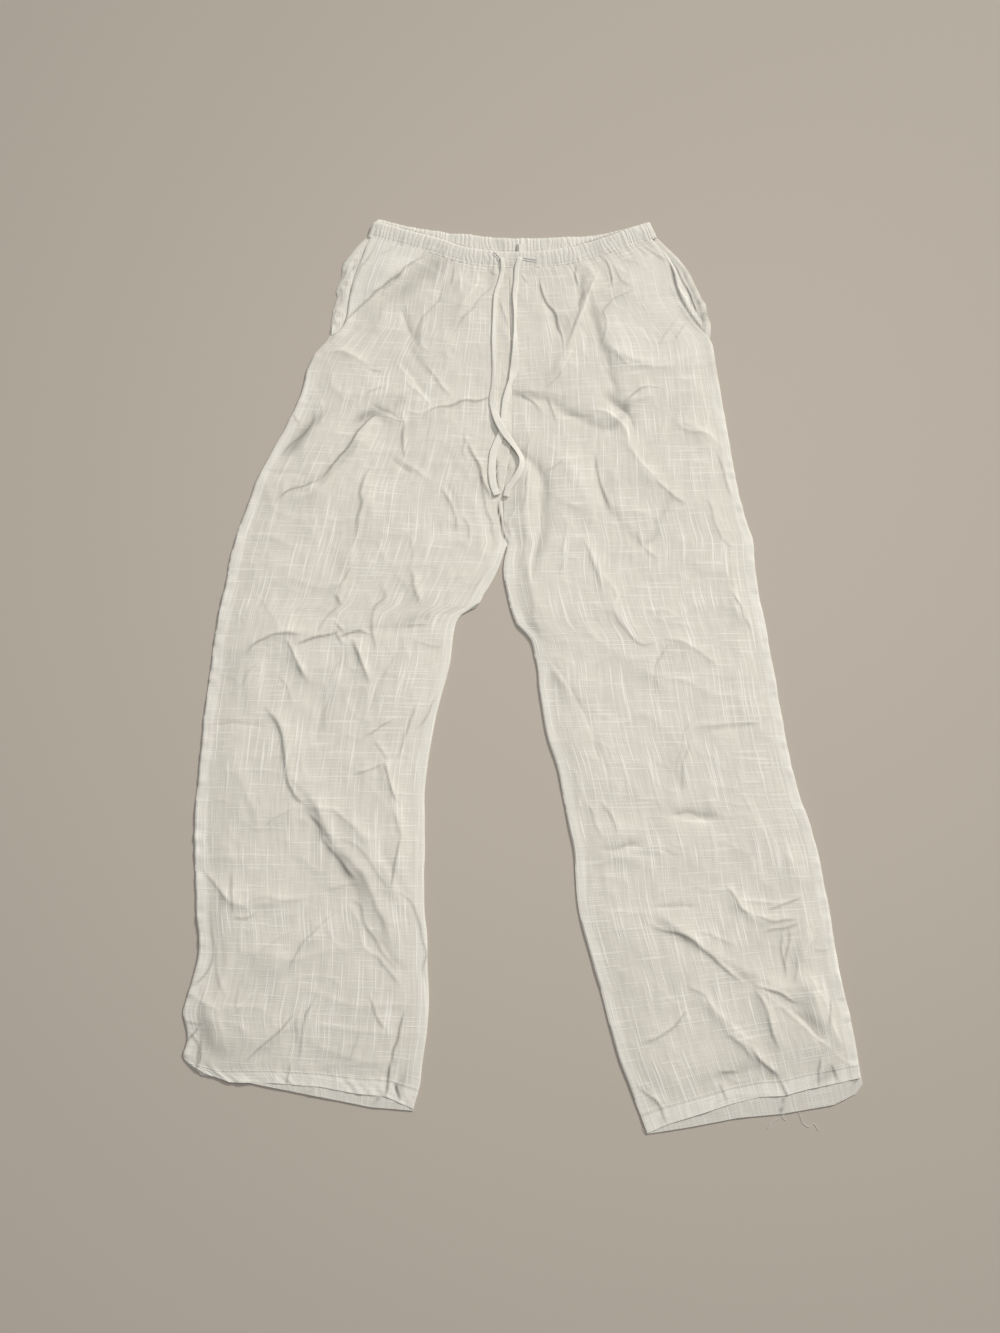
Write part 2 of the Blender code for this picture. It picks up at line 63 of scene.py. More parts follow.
camera = {
    "place": (-0.0549, -0.2870, 1.1208),
    "right": (0.9996, 0.0, 0.0271),
    "up": (-0.0058, 0.9767, 0.2147),
    "back": (-0.0265, -0.2148, 0.9763),
    "lens": 27.03,
    "sensor": 36,
    "clipStart": 0.05,
}


def makeCamera():
    lens = bpy.data.cameras.new("overhead")
    lens.lens = camera["lens"]
    lens.sensor_width = camera["sensor"]
    lens.clip_start = camera["clipStart"]
    made = addObject("overhead", lens)
    turned = Matrix((camera["right"], camera["up"], camera["back"])).transposed()
    made.matrix_world = Matrix.Translation(camera["place"]) @ turned.to_4x4()
    bpy.context.scene.camera = made


studio = {
    "floorSize": 9.0,
    "floorColour": (0.47, 0.42, 0.36),
    "floorRoughness": 0.85,
    "floorDrop": 0.0004,  # just under the cloth, so that the two faces don't fight
    "worldColour": (0.93, 0.95, 1.0),
    "worldStrength": 0.27,
    "keyLight": {"place": (6.4, 7.6, 7.0), "size": 2.2, "power": 1160, "colour": (1.0, 0.97, 0.92)},
    "fillLight": {"place": (0.1, 0.05, 1.3), "size": 0.9, "power": 5.6, "colour": (1.0, 0.985, 0.96)},
}


def areaLight(name, place, size, power, colour):  # a round one, aimed at the middle of the floor
    lamp = bpy.data.lights.new(name, "AREA")
    lamp.shape = "DISK"
    lamp.size = size
    lamp.energy = power
    lamp.color = colour
    made = addObject(name, lamp)
    made.location = place
    made.rotation_euler = (-Vector(place)).to_track_quat("-Z", "Y").to_euler()
    made.visible_camera = False


def makeStudio():
    half = studio["floorSize"] / 2
    drop = -studio["floorDrop"]
    mesh = bpy.data.meshes.new("paleFloor")
    corners = [(-half, -half, drop), (half, -half, drop), (half, half, drop), (-half, half, drop)]
    mesh.from_pydata(corners, [], [(0, 1, 2, 3)])
    paint = {"Base Color": (*studio["floorColour"], 1), "Roughness": studio["floorRoughness"]}
    mesh.materials.append(newMaterial("floorPaint", paint)[0])
    addObject("paleFloor", mesh)
    world = bpy.data.worlds.new("softRoom")
    world.use_nodes = True
    sky = world.node_tree.nodes["Background"]
    sky.inputs["Color"].default_value = (*studio["worldColour"], 1)
    sky.inputs["Strength"].default_value = studio["worldStrength"]
    bpy.context.scene.world = world
    for name in ("keyLight", "fillLight"):
        areaLight(name, **studio[name])
    bpy.context.scene.view_settings.view_transform = "Standard"


makeCamera()
makeStudio()


# Curves and noise, in millimetres

def smoothstep(low, high, value):
    part = np.clip((value - low) / (high - low), 0, 1)
    return part * part * (3 - 2 * part)


def lengths(points):
    return np.r_[0, np.cumsum(np.hypot(*np.diff(points[:, :2], axis=0).T))]


def smoothRows(rows, along, at):  # on a smooth curve through all the rows
    rows = np.asarray(rows, float)
    slopes = np.gradient(rows, along, axis=0)
    k = np.clip(np.searchsorted(along, at, side="right") - 1, 0, len(along) - 2)
    span = (along[k + 1] - along[k])[:, None]
    s = (at - along[k])[:, None] / span
    start = (1 + 2 * s) * (1 - s) ** 2 * rows[k] + s * (1 - s) ** 2 * span * slopes[k]
    end = s * s * (3 - 2 * s) * rows[k + 1] - s * s * (1 - s) * span * slopes[k + 1]
    return start + end


def smoothLine(points, step):
    points = np.asarray(points, float)
    along = lengths(points)
    return smoothRows(points, along, np.linspace(0, along[-1], max(2, round(along[-1] / step)) + 1))


def lineNormals(line):  # to the right of a line walked from its first point
    run = np.gradient(line[:, :2], axis=0)
    run /= np.hypot(run[:, 0], run[:, 1])[:, None]
    return np.c_[run[:, 1], -run[:, 0]]


def softNoise(x, y, size, seed):  # smooth noise from -1 to 1 with features of that size
    x, y = np.broadcast_arrays(x / size, y / size)
    column = np.floor(x).astype(int)
    row = np.floor(y).astype(int)
    grid = np.random.default_rng(seed).uniform(-1, 1, (256, 256))
    fx = x - column
    fy = y - row
    fx = fx * fx * fx * (fx * (6 * fx - 15) + 10)
    fy = fy * fy * fy * (fy * (6 * fy - 15) + 10)
    a = grid[row % 256, column % 256]
    b = grid[row % 256, (column + 1) % 256]
    c = grid[(row + 1) % 256, column % 256]
    d = grid[(row + 1) % 256, (column + 1) % 256]
    return (a * (1 - fx) + b * fx) * (1 - fy) + (c * (1 - fx) + d * fx) * fy


def crumple(x, y, size, seed):  # a net of thin soft ridges, as in linen that was folded
    bentX = x + 0.6 * size * softNoise(x, y, 1.7 * size, seed + 1)
    bentY = y + 0.6 * size * softNoise(x, y, 1.7 * size, seed + 2)
    ridge = 1 - np.sqrt(softNoise(bentX, bentY, size, seed) ** 2 + 0.004)
    return ridge**3 - 0.4


def nearest(x, y, line):
    # How far points lie from a line, on which side of it (above 0 on its left), and how far along it
    along = lengths(line)
    best = np.full(np.shape(x), np.inf)
    side = np.zeros_like(best)
    place = np.zeros_like(best)
    for k, run in enumerate(np.diff(line, axis=0)):
        size = np.hypot(*run)
        dx = x - line[k, 0]
        dy = y - line[k, 1]
        t = np.clip((dx * run[0] + dy * run[1]) / size**2, 0, 1)
        away = np.hypot(dx - t * run[0], dy - t * run[1])
        closer = away < best
        best = np.where(closer, away, best)
        side = np.where(closer, run[0] * dy - run[1] * dx, side)
        place = np.where(closer, along[k] + t * size, place)
    return best, side, place


def onEdge(x, y, line, width):  # 1 on a line, and soon 0 beside it
    return np.exp(-((nearest(x, y, smoothLine(line, 3))[0] / width) ** 2))


def insideOutline(x, y, ring, soft):  # 1 inside a closed outline, with a soft edge
    ring = np.array(ring)
    ring = smoothLine(np.r_[ring, ring[:1]], 8)
    inside = np.zeros(x.shape, bool)
    for (ax, ay), (bx, by) in zip(ring[:-1], ring[1:]):
        if ay != by:
            crosses = (ay > y) != (by > y)
            inside ^= crosses & (x < (bx - ax) * (y - ay) / (by - ay) + ax)
    away = nearest(x, y, ring)[0]
    return smoothstep(-soft, soft, np.where(inside, away, -away))


def aboveLine(x, y, line):  # how far a point lies above a line
    line = smoothLine(line, 6)
    order = np.argsort(line[:, 0])
    return y - np.interp(x, line[order, 0], line[order, 1])


def rolled(distance, reach):  # a round edge, from 0 to 1 over its reach
    inward = np.clip(distance / reach, 0, 1)
    return np.sqrt(1 - (1 - inward) ** 2)


foldLook = {
    "step": 5,
    "reach": 4.5,  # how many of its widths a fold reaches
    "stray": 2.2,  # how far it wanders from its line
    "straySize": 17,
    "uneven": 0.22,
    "unevenSize": 23,
    "fall": 1.7,  # how soon it falls away, in its widths
    "shadeShift": 1.3,
    "shadeWidth": 1.25,
    "softShadeWidth": 0.55,  # a share of the hollow's own width
}


def foldHeights(x, y, folds, crisp, tail, soft=False):
    # Each fold is (rise, left, right, line): a ridge, or a trough where its rise is below 0.
    # A crease has its shade before the line: a painted shade, for the shadow in and beside the crease;
    # below 0 it is a painted highlight on a ridge.
    look = foldLook
    total = np.zeros_like(x)
    shaded = np.zeros_like(x)
    for number, (rise, left, right, *shade, points) in enumerate(folds):
        line = smoothLine(points, look["step"])
        length = lengths(line)[-1]
        reach = look["reach"] * max(left, right)
        near = (x > line[:, 0].min() - reach) & (x < line[:, 0].max() + reach)
        near &= (y > line[:, 1].min() - reach) & (y < line[:, 1].max() + reach)
        if not near.any():
            continue
        px = x[near] + look["stray"] * softNoise(x[near], y[near], look["straySize"], 40 + number)
        py = y[near] + look["stray"] * softNoise(x[near], y[near], look["straySize"], 90 + number)
        best, side, place = nearest(px, py, line)
        turned = smoothstep(-0.25, 0.25, side / (np.maximum(best, 1e-6) * 5))
        share = best / (right + (left - right) * turned)
        fade = min(tail * length, 40)
        ends = smoothstep(-4, fade, place) * smoothstep(-4, fade, length - place)
        rough = softNoise(place, np.full_like(place, 9.0 * number), look["unevenSize"], 7)
        uneven = 1 + look["uneven"] * rough
        total[near] += rise * uneven * ends * np.exp(-look["fall"] * (np.hypot(share, crisp) - crisp))
        if shade:
            # The painted shade of a positive rise lies just off its steep side, and that of the others on
            # their line.
            shift = 0.0 if rise < 0 or shade[0] < 0 else look["shadeShift"]
            wide = look["softShadeWidth"] * left if soft else look["shadeWidth"]
            off = np.where(turned > 0.5, best, -best) + (shift if right <= left else -shift)
            shaded[near] += shade[0] * uneven * ends * np.exp(-((off / wide) ** 2))
    return total, shaded


# Meshes

def linkMesh(name, points, faces, material, uv=None, layers=None, shade=None):
    mesh = bpy.data.meshes.new(name)
    mesh.from_pydata((np.asarray(points) * mm).tolist(), [], faces)
    mesh.materials.append(material)
    mesh.shade_smooth()
    if uv is not None:
        corner = np.empty(len(mesh.loops), int)
        mesh.loops.foreach_get("vertex_index", corner)
        mesh.uv_layers.new(name="grain").data.foreach_set("uv", uv[corner].ravel())
    for attribute, values in (("layers", layers), ("shade", shade)):
        if values is not None:
            mesh.attributes.new(attribute, "FLOAT", "POINT").data.foreach_set("value", values)
    return addObject(name, mesh)


def gridFaces(rows, columns, start=0):
    number = np.arange(rows * columns).reshape(rows, columns) + start
    corners = (number[:-1, :-1], number[:-1, 1:], number[1:, 1:], number[1:, :-1])
    return np.stack(corners, axis=-1).reshape(-1, 4)


def rimOf(rows, columns, start=0):  # the numbers round a grid's edge
    number = np.arange(rows * columns).reshape(rows, columns) + start
    return np.r_[number[0], number[1:, -1], number[-1, -2::-1], number[-2:0:-1, 0]]


def closedWall(name, upper, lower, sharp, material, uv, layers, shade, lowerShade, flipped):
    # Two grids of points with a rim between them
    rows, columns = upper.shape[:2]
    count = rows * columns
    points = np.concatenate([upper.reshape(-1, 3), lower.reshape(-1, 3)])
    faces = gridFaces(rows, columns)
    rim = rimOf(rows, columns)
    after = np.roll(rim, -1)
    around = np.stack([after, rim, rim + count, after + count], axis=-1)
    faces = np.concatenate([faces, faces[:, ::-1] + count, around])
    if flipped:
        faces = faces[:, ::-1]
    made = linkMesh(
        name, points, faces.tolist(), material, np.concatenate([uv.reshape(-1, 2)] * 2),
        np.concatenate([layers.ravel()] * 2), np.concatenate([shade.ravel(), lowerShade.ravel()]),
    )
    made.data.set_sharp_from_angle(angle=math.radians(sharp))
    return made


def shell(name, x, y, top, bottom, material, uv, layers, shade, flipped):
    upper, lower = [np.stack([x, y, z], axis=-1) for z in (top, bottom)]
    return closedWall(name, upper, lower, 60, material, uv, layers, shade, 0 * shade, flipped)


def foldedShell(name, outer, depth, material, uv, layers, shade, flipped):
    # A wall that folds back on itself, from its outer face and its thickness
    down, across = np.gradient(outer, axis=(0, 1))
    normal = np.cross(down, across)
    normal /= np.linalg.norm(normal, axis=-1)[..., None]
    inner = outer - (-depth if flipped else depth) * normal
    inner[..., 2] = np.maximum(inner[..., 2], 0.05)
    return closedWall(name, outer, inner, 70, material, uv, layers, shade, shade, flipped)


def windows(values, reach):  # the values with their neighbours on both sides
    before = values[:1].repeat(reach, axis=0)
    after = values[-1:].repeat(reach, axis=0)
    padded = np.concatenate([before, values, after])
    return [padded[k : k + len(values)] for k in range(2 * reach + 1)]


def lowest(z, reach):  # the lowest height round each point
    down = np.min(windows(z, reach), axis=0)
    return np.min(windows(down.T, reach), axis=0).T


def legShell(name, x, y, top, thickness, material, uv, layers, shade, flipped):
    # A closed thin wall with a fine top and an underside that takes every fourth row and column
    low = lowest(top, 4) - thickness
    edge = np.ones(low.shape, bool)
    edge[1:-1, 1:-1] = False
    low = np.where(edge, top - thickness, low)
    fine = np.stack([x, y, top], axis=-1).reshape(-1, 3)
    coarse = np.stack([x, y, low], axis=-1)[::4, ::4]
    count = len(fine)
    under = gridFaces(*coarse.shape[:2], count)[:, ::-1]
    rim = rimOf(*x.shape)
    belowRim = rimOf(*coarse.shape[:2], count)
    around = []
    for k, a in enumerate(belowRim):
        b = belowRim[(k + 1) % len(belowRim)]
        over = [rim[(4 * k + j) % len(rim)] for j in range(5)]
        around.append([int(c) for c in [*over[::-1], a, b]])
    faces = gridFaces(*x.shape).tolist() + under.tolist() + around
    if flipped:
        faces = [face[::-1] for face in faces]
    points = np.concatenate([fine, coarse.reshape(-1, 3)])
    uv = np.concatenate([uv.reshape(-1, 2), uv[::4, ::4].reshape(-1, 2)])
    layers = np.concatenate([layers.ravel(), layers[::4, ::4].ravel()])
    shade = np.concatenate([shade.ravel(), np.zeros(coarse.shape[:2]).ravel()])
    made = linkMesh(name, points, faces, material, uv, layers, shade)
    made.data.set_sharp_from_angle(angle=math.radians(65))
    return made


# Linen

slub = {
    "cloth": (0.682, 0.654, 0.573),  # one layer, with the shade below showing through
    "doubled": (0.776, 0.750, 0.676),  # seams, hems and pockets, where layers lie on each other
    "thread": (0.845, 0.822, 0.757),
    "threadWidth": 2.7,  # millimetres from one slub to the next
    "threadLength": 90.0,
    "weftLength": 0.8,  # shares of the two above, for the slubs across the leg and the fine ones
    "fineWidth": 0.55,
    "fineLength": 0.3,
    "warpShare": 0.8,  # the slubs that run up the leg stand out more than those across it
    "weftShare": 0.5,
    "fineShare": 0.3,
    "streak": 0.06,  # broad faint streaks up the leg
    "streakWidth": 3.6,
    "streakLength": 42,
    "mottle": 0.35,
    "mottleScale": 2.4,
    "mottleColour": 0.93,
    "weave": 0.5,
    "weftRelief": 0.6,
    "bump": 0.00016,
    "creaseShade": 2.3,
    "roughness": 0.92,
    "sheen": 0.12,
    "sheenRoughness": 0.45,
    "specular": 0.25,
}


def addNode(tree, kind, inputs, **settings):  # its inputs are links or values
    made = tree.nodes.new(kind)
    for key, value in settings.items():
        setattr(made, key, value)
    for key, value in inputs.items():
        if isinstance(value, bpy.types.NodeSocket):
            tree.links.new(value, made.inputs[key])
        else:
            made.inputs[key].default_value = value
    return made


def joinValues(tree, operation, first, second):
    return addNode(tree, "ShaderNodeMath", {0: first, 1: second}, operation=operation).outputs["Value"]


def mixColours(tree, factor, first, second):
    # A mix node's colours are its inputs 6 and 7 and its output 2.
    ends = [(*end, 1) if isinstance(end, tuple) else end for end in (first, second)]
    return addNode(tree, "ShaderNodeMix", {0: factor, 6: ends[0], 7: ends[1]}, data_type="RGBA").outputs[2]


def threadMask(tree, grain, width, length, turned, seed, low=0.56, high=0.74):
    # Thin streaks along one direction of the weave
    across = 100 / width
    along = 100 / length
    place = addNode(tree, "ShaderNodeMapping", {
        "Vector": grain,
        "Location": (seed * 3.1, seed * 7.7, 0),
        "Scale": (along, across, 1) if turned else (across, along, 1),
    })
    streak = addNode(tree, "ShaderNodeTexNoise", {
        "Vector": place.outputs["Vector"], "Scale": 1, "Detail": 1.5, "Roughness": 0.6,
    }, noise_dimensions="2D")
    edges = {"Value": streak.outputs["Fac"], "From Min": low, "From Max": high}
    return addNode(tree, "ShaderNodeMapRange", edges, interpolation_type="SMOOTHSTEP").outputs["Result"]


def linen(name, seed, tint=1.0):
    look = slub
    material, shader = newMaterial(name, {
        "Roughness": look["roughness"],
        "Sheen Weight": look["sheen"],
        "Sheen Roughness": look["sheenRoughness"],
        "Specular IOR Level": look["specular"],
    })
    tree = material.node_tree
    grain = addNode(tree, "ShaderNodeUVMap", {}, uv_map="grain").outputs["UV"]

    def join(operation, first, second):
        return joinValues(tree, operation, first, second)

    def streaks(width, length, turned, number, *edges):
        return threadMask(tree, grain, width, length, turned, seed + number, *edges)

    def painted(attribute):
        return addNode(tree, "ShaderNodeAttribute", {}, attribute_name=attribute).outputs["Fac"]

    width = look["threadWidth"]
    length = look["threadLength"]
    warp = streaks(width, length, False, 1)
    weft = streaks(width, look["weftLength"] * length, True, 2)
    fineWarp = streaks(look["fineWidth"] * width, look["fineLength"] * length, False, 3)
    fineWeft = streaks(look["fineWidth"] * width, look["fineLength"] * length, True, 4)
    fine = join("ADD", fineWarp, fineWeft)
    cloth, doubled, thread = [
        tuple(tint * c for c in look[part]) for part in ("cloth", "doubled", "thread")
    ]
    cloudy = addNode(tree, "ShaderNodeTexNoise", {
        "Vector": grain, "Scale": look["mottleScale"], "Detail": 3,
    }, noise_dimensions="2D")
    base = mixColours(tree, painted("layers"), cloth, doubled)
    mottle = join("MULTIPLY", cloudy.outputs["Fac"], look["mottle"])
    base = mixColours(tree, mottle, base, tuple(look["mottleColour"] * c for c in cloth))
    warpShown = join("MULTIPLY", warp, look["warpShare"])
    shown = join("MAXIMUM", warpShown, join("MULTIPLY", weft, look["weftShare"]))
    shown = join("MAXIMUM", shown, join("MULTIPLY", fine, look["fineShare"] * look["warpShare"]))
    colour = mixColours(tree, shown, base, thread)
    broad = streaks(look["streakWidth"], look["streakLength"], False, 5, 0.3, 0.7)
    broad = join("MULTIPLY", join("SUBTRACT", broad, 0.5), look["streak"])
    # Painted shade: the shade attribute darkens the colour where shade falls, in creases, hollows, gaps,
    # slits and stitch lines, and lightens it a little on some ridges as a painted highlight; the broad
    # streaks are the cloth's own tone.
    paintedShade = join("MULTIPLY", painted("shade"), look["creaseShade"])
    light = join("ADD", join("SUBTRACT", 1, paintedShade), broad)
    scaled = addNode(tree, "ShaderNodeVectorMath", {0: colour, "Scale": light}, operation="SCALE")
    tree.links.new(scaled.outputs["Vector"], shader.inputs["Base Color"])
    threads = join("MAXIMUM", warp, join("MULTIPLY", weft, look["weftRelief"]))
    relief = join("ADD", threads, join("MULTIPLY", fine, look["weave"]))
    bump = addNode(tree, "ShaderNodeBump", {"Strength": 1, "Distance": look["bump"], "Height": relief})
    tree.links.new(bump.outputs["Normal"], shader.inputs["Normal"])
    return material


def addPiece(piece, nodes):
    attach(piece, wholeBody)
    if nodes:
        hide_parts(*nodes)
    return piece


# The waist: its two edges, and the gathers that run down the front legs from it

waist = {
    "frontEdge": (
        (-185, 533), (-135, 519), (-103, 510), (-65, 497.5), (-20, 492.5),
        (20, 493.5), (63, 500), (95, 511), (132, 525), (166, 538.5),
    ),
    "backEdge": (
        (-181, 538), (-122, 524), (-66, 517.5), (-5, 514), (57, 516), (108, 522), (167, 539),
    ),
    "depth": 22,
    "seamHigh": 4.2,  # of the front seam under the casing, which falls away to both sides
    "seamFall": 0.3,
    "gatherLength": 372,
    "gatherSpacing": 5.6,
    "gatherStray": 1.9,
    "gatherHeights": (0.4, 1.2),
    "gatherWidths": (1.3, 2.4),
    "gatherReach": (9, 44),  # the shortest, and how much longer the longest is
    "gatherDrift": 0.22,
    "holes": (((-33, 489), (-28, 484), (-24, 478)), ((3, 482.5), (12, 481), (21, 480))),
}


def waistFoot(edge):
    line = smoothLine(edge, 2)
    return line + lineNormals(line) * waist["depth"]


frontFoot = waistFoot(waist["frontEdge"])
backFoot = waistFoot(waist["backEdge"])


def gatherTable(seed):  # place along the waist, height, width, length down the leg, drift
    choose = np.random.default_rng(seed)
    spots = np.arange(2, waist["gatherLength"], waist["gatherSpacing"])
    count = len(spots)
    spots = spots + choose.uniform(-waist["gatherStray"], waist["gatherStray"], count)
    heights = choose.uniform(*waist["gatherHeights"], count)
    widths = choose.uniform(*waist["gatherWidths"], count)
    shortest, longer = waist["gatherReach"]
    reach = shortest + longer * choose.uniform(0, 1, count) ** 3
    drift = choose.uniform(-waist["gatherDrift"], waist["gatherDrift"], count)
    return np.c_[spots, heights, widths, reach, drift]


def gatherHeights(along, below, table):
    total = np.zeros(np.broadcast_shapes(along.shape, below.shape))
    for spot, height, width, reach, drift in table:
        away = along - spot - drift * below
        wide = width * (1 + 2.2 * np.clip(below, 0, reach) / reach)
        total += height * np.exp(-((away / wide) ** 2)) * smoothstep(reach, 0, below)
    return total


def seamHigh(x):
    return waist["seamHigh"] - waist["seamFall"] * smoothstep(30, 120, np.abs(x + 9))


frontGathers = gatherTable(11)


# Legs. A section runs across one panel: outer x, outer y, inner x, inner y.

legCloth = {
    "columns": 148,
    "rowStep": 1.76,
    "thickness": 0.6,
    "edgeHigh": 1.35,  # the top of the front panel at its edges
    "loft": 3.6,
    "outerRoll": (0.42, 3.5, 8, 38),  # the tight roll's share and width, and the slope's two ends
    "innerRoll": (0.36, 3.0, 4, 38),
    "centreDip": 0.28,
    "hemLoft": 0.35,  # the share of the loft that is left at the hem
    "hemReach": 60,
    "swell": 0.9,
    "foldRise": 0.75,
    "creaseRise": 0.8,
    "crumpleRise": 1.5,
    "crisp": 0.22,
    "creaseCrisp": 0.12,
    "hollowDeeper": 0.35,  # above the crotch
    "seamBand": 12.5,  # the pressed seam allowances along the outseam
    "innerBand": 11.5,
    "seamRise": 0.35,
    "hemDepth": 20,
    "hemRise": 0.45,
    "hemPucker": 0.45,
    "edgePucker": 0.8,
    "stitchDip": 0.35,
    "stitchShade": 0.08,
    "waistDip": 0.3,
    "ribShade": 0.07,
    "bagRise": 0.7,
    "topLeast": 1.5,  # the front's top stays above this, and higher over the bags
    "topOverBag": 0.8,
    "footReach": 90,
    "hipPucker": 1.7,
    "backColumns": 58,
    "backRowStep": 4.4,
    "backRise": 1.7,  # how far the underside's folds stand clear of the floor
    "stripRise": (0.7, 1.6),  # the puckered strip that shows beside the pocket's mouth
}
crotchHollow = {"x": -17, "width": 7, "depth": 1.6, "low": 112, "high": 160}
centreCreases = (  # beside the centre seam, on both fronts
    (-0.9, 2, 2, 0.26, ((-29, 228), (-30, 211), (-30, 195), (-27, 166))),
    (-1.2, 2, 2, 0.36, ((-26, 160), (-25, 142), (-23, 132), (-20, 118), (-14, 106))),
    (1.1, 3, 3, -0.07, ((-3, 154), (-8, 146), (-14, 128), (-10, 118), (-13, 108))),
    (1.3, 3, 4, 0.10, ((3, 274), (7, 241), (6, 207), (2, 165))),
)
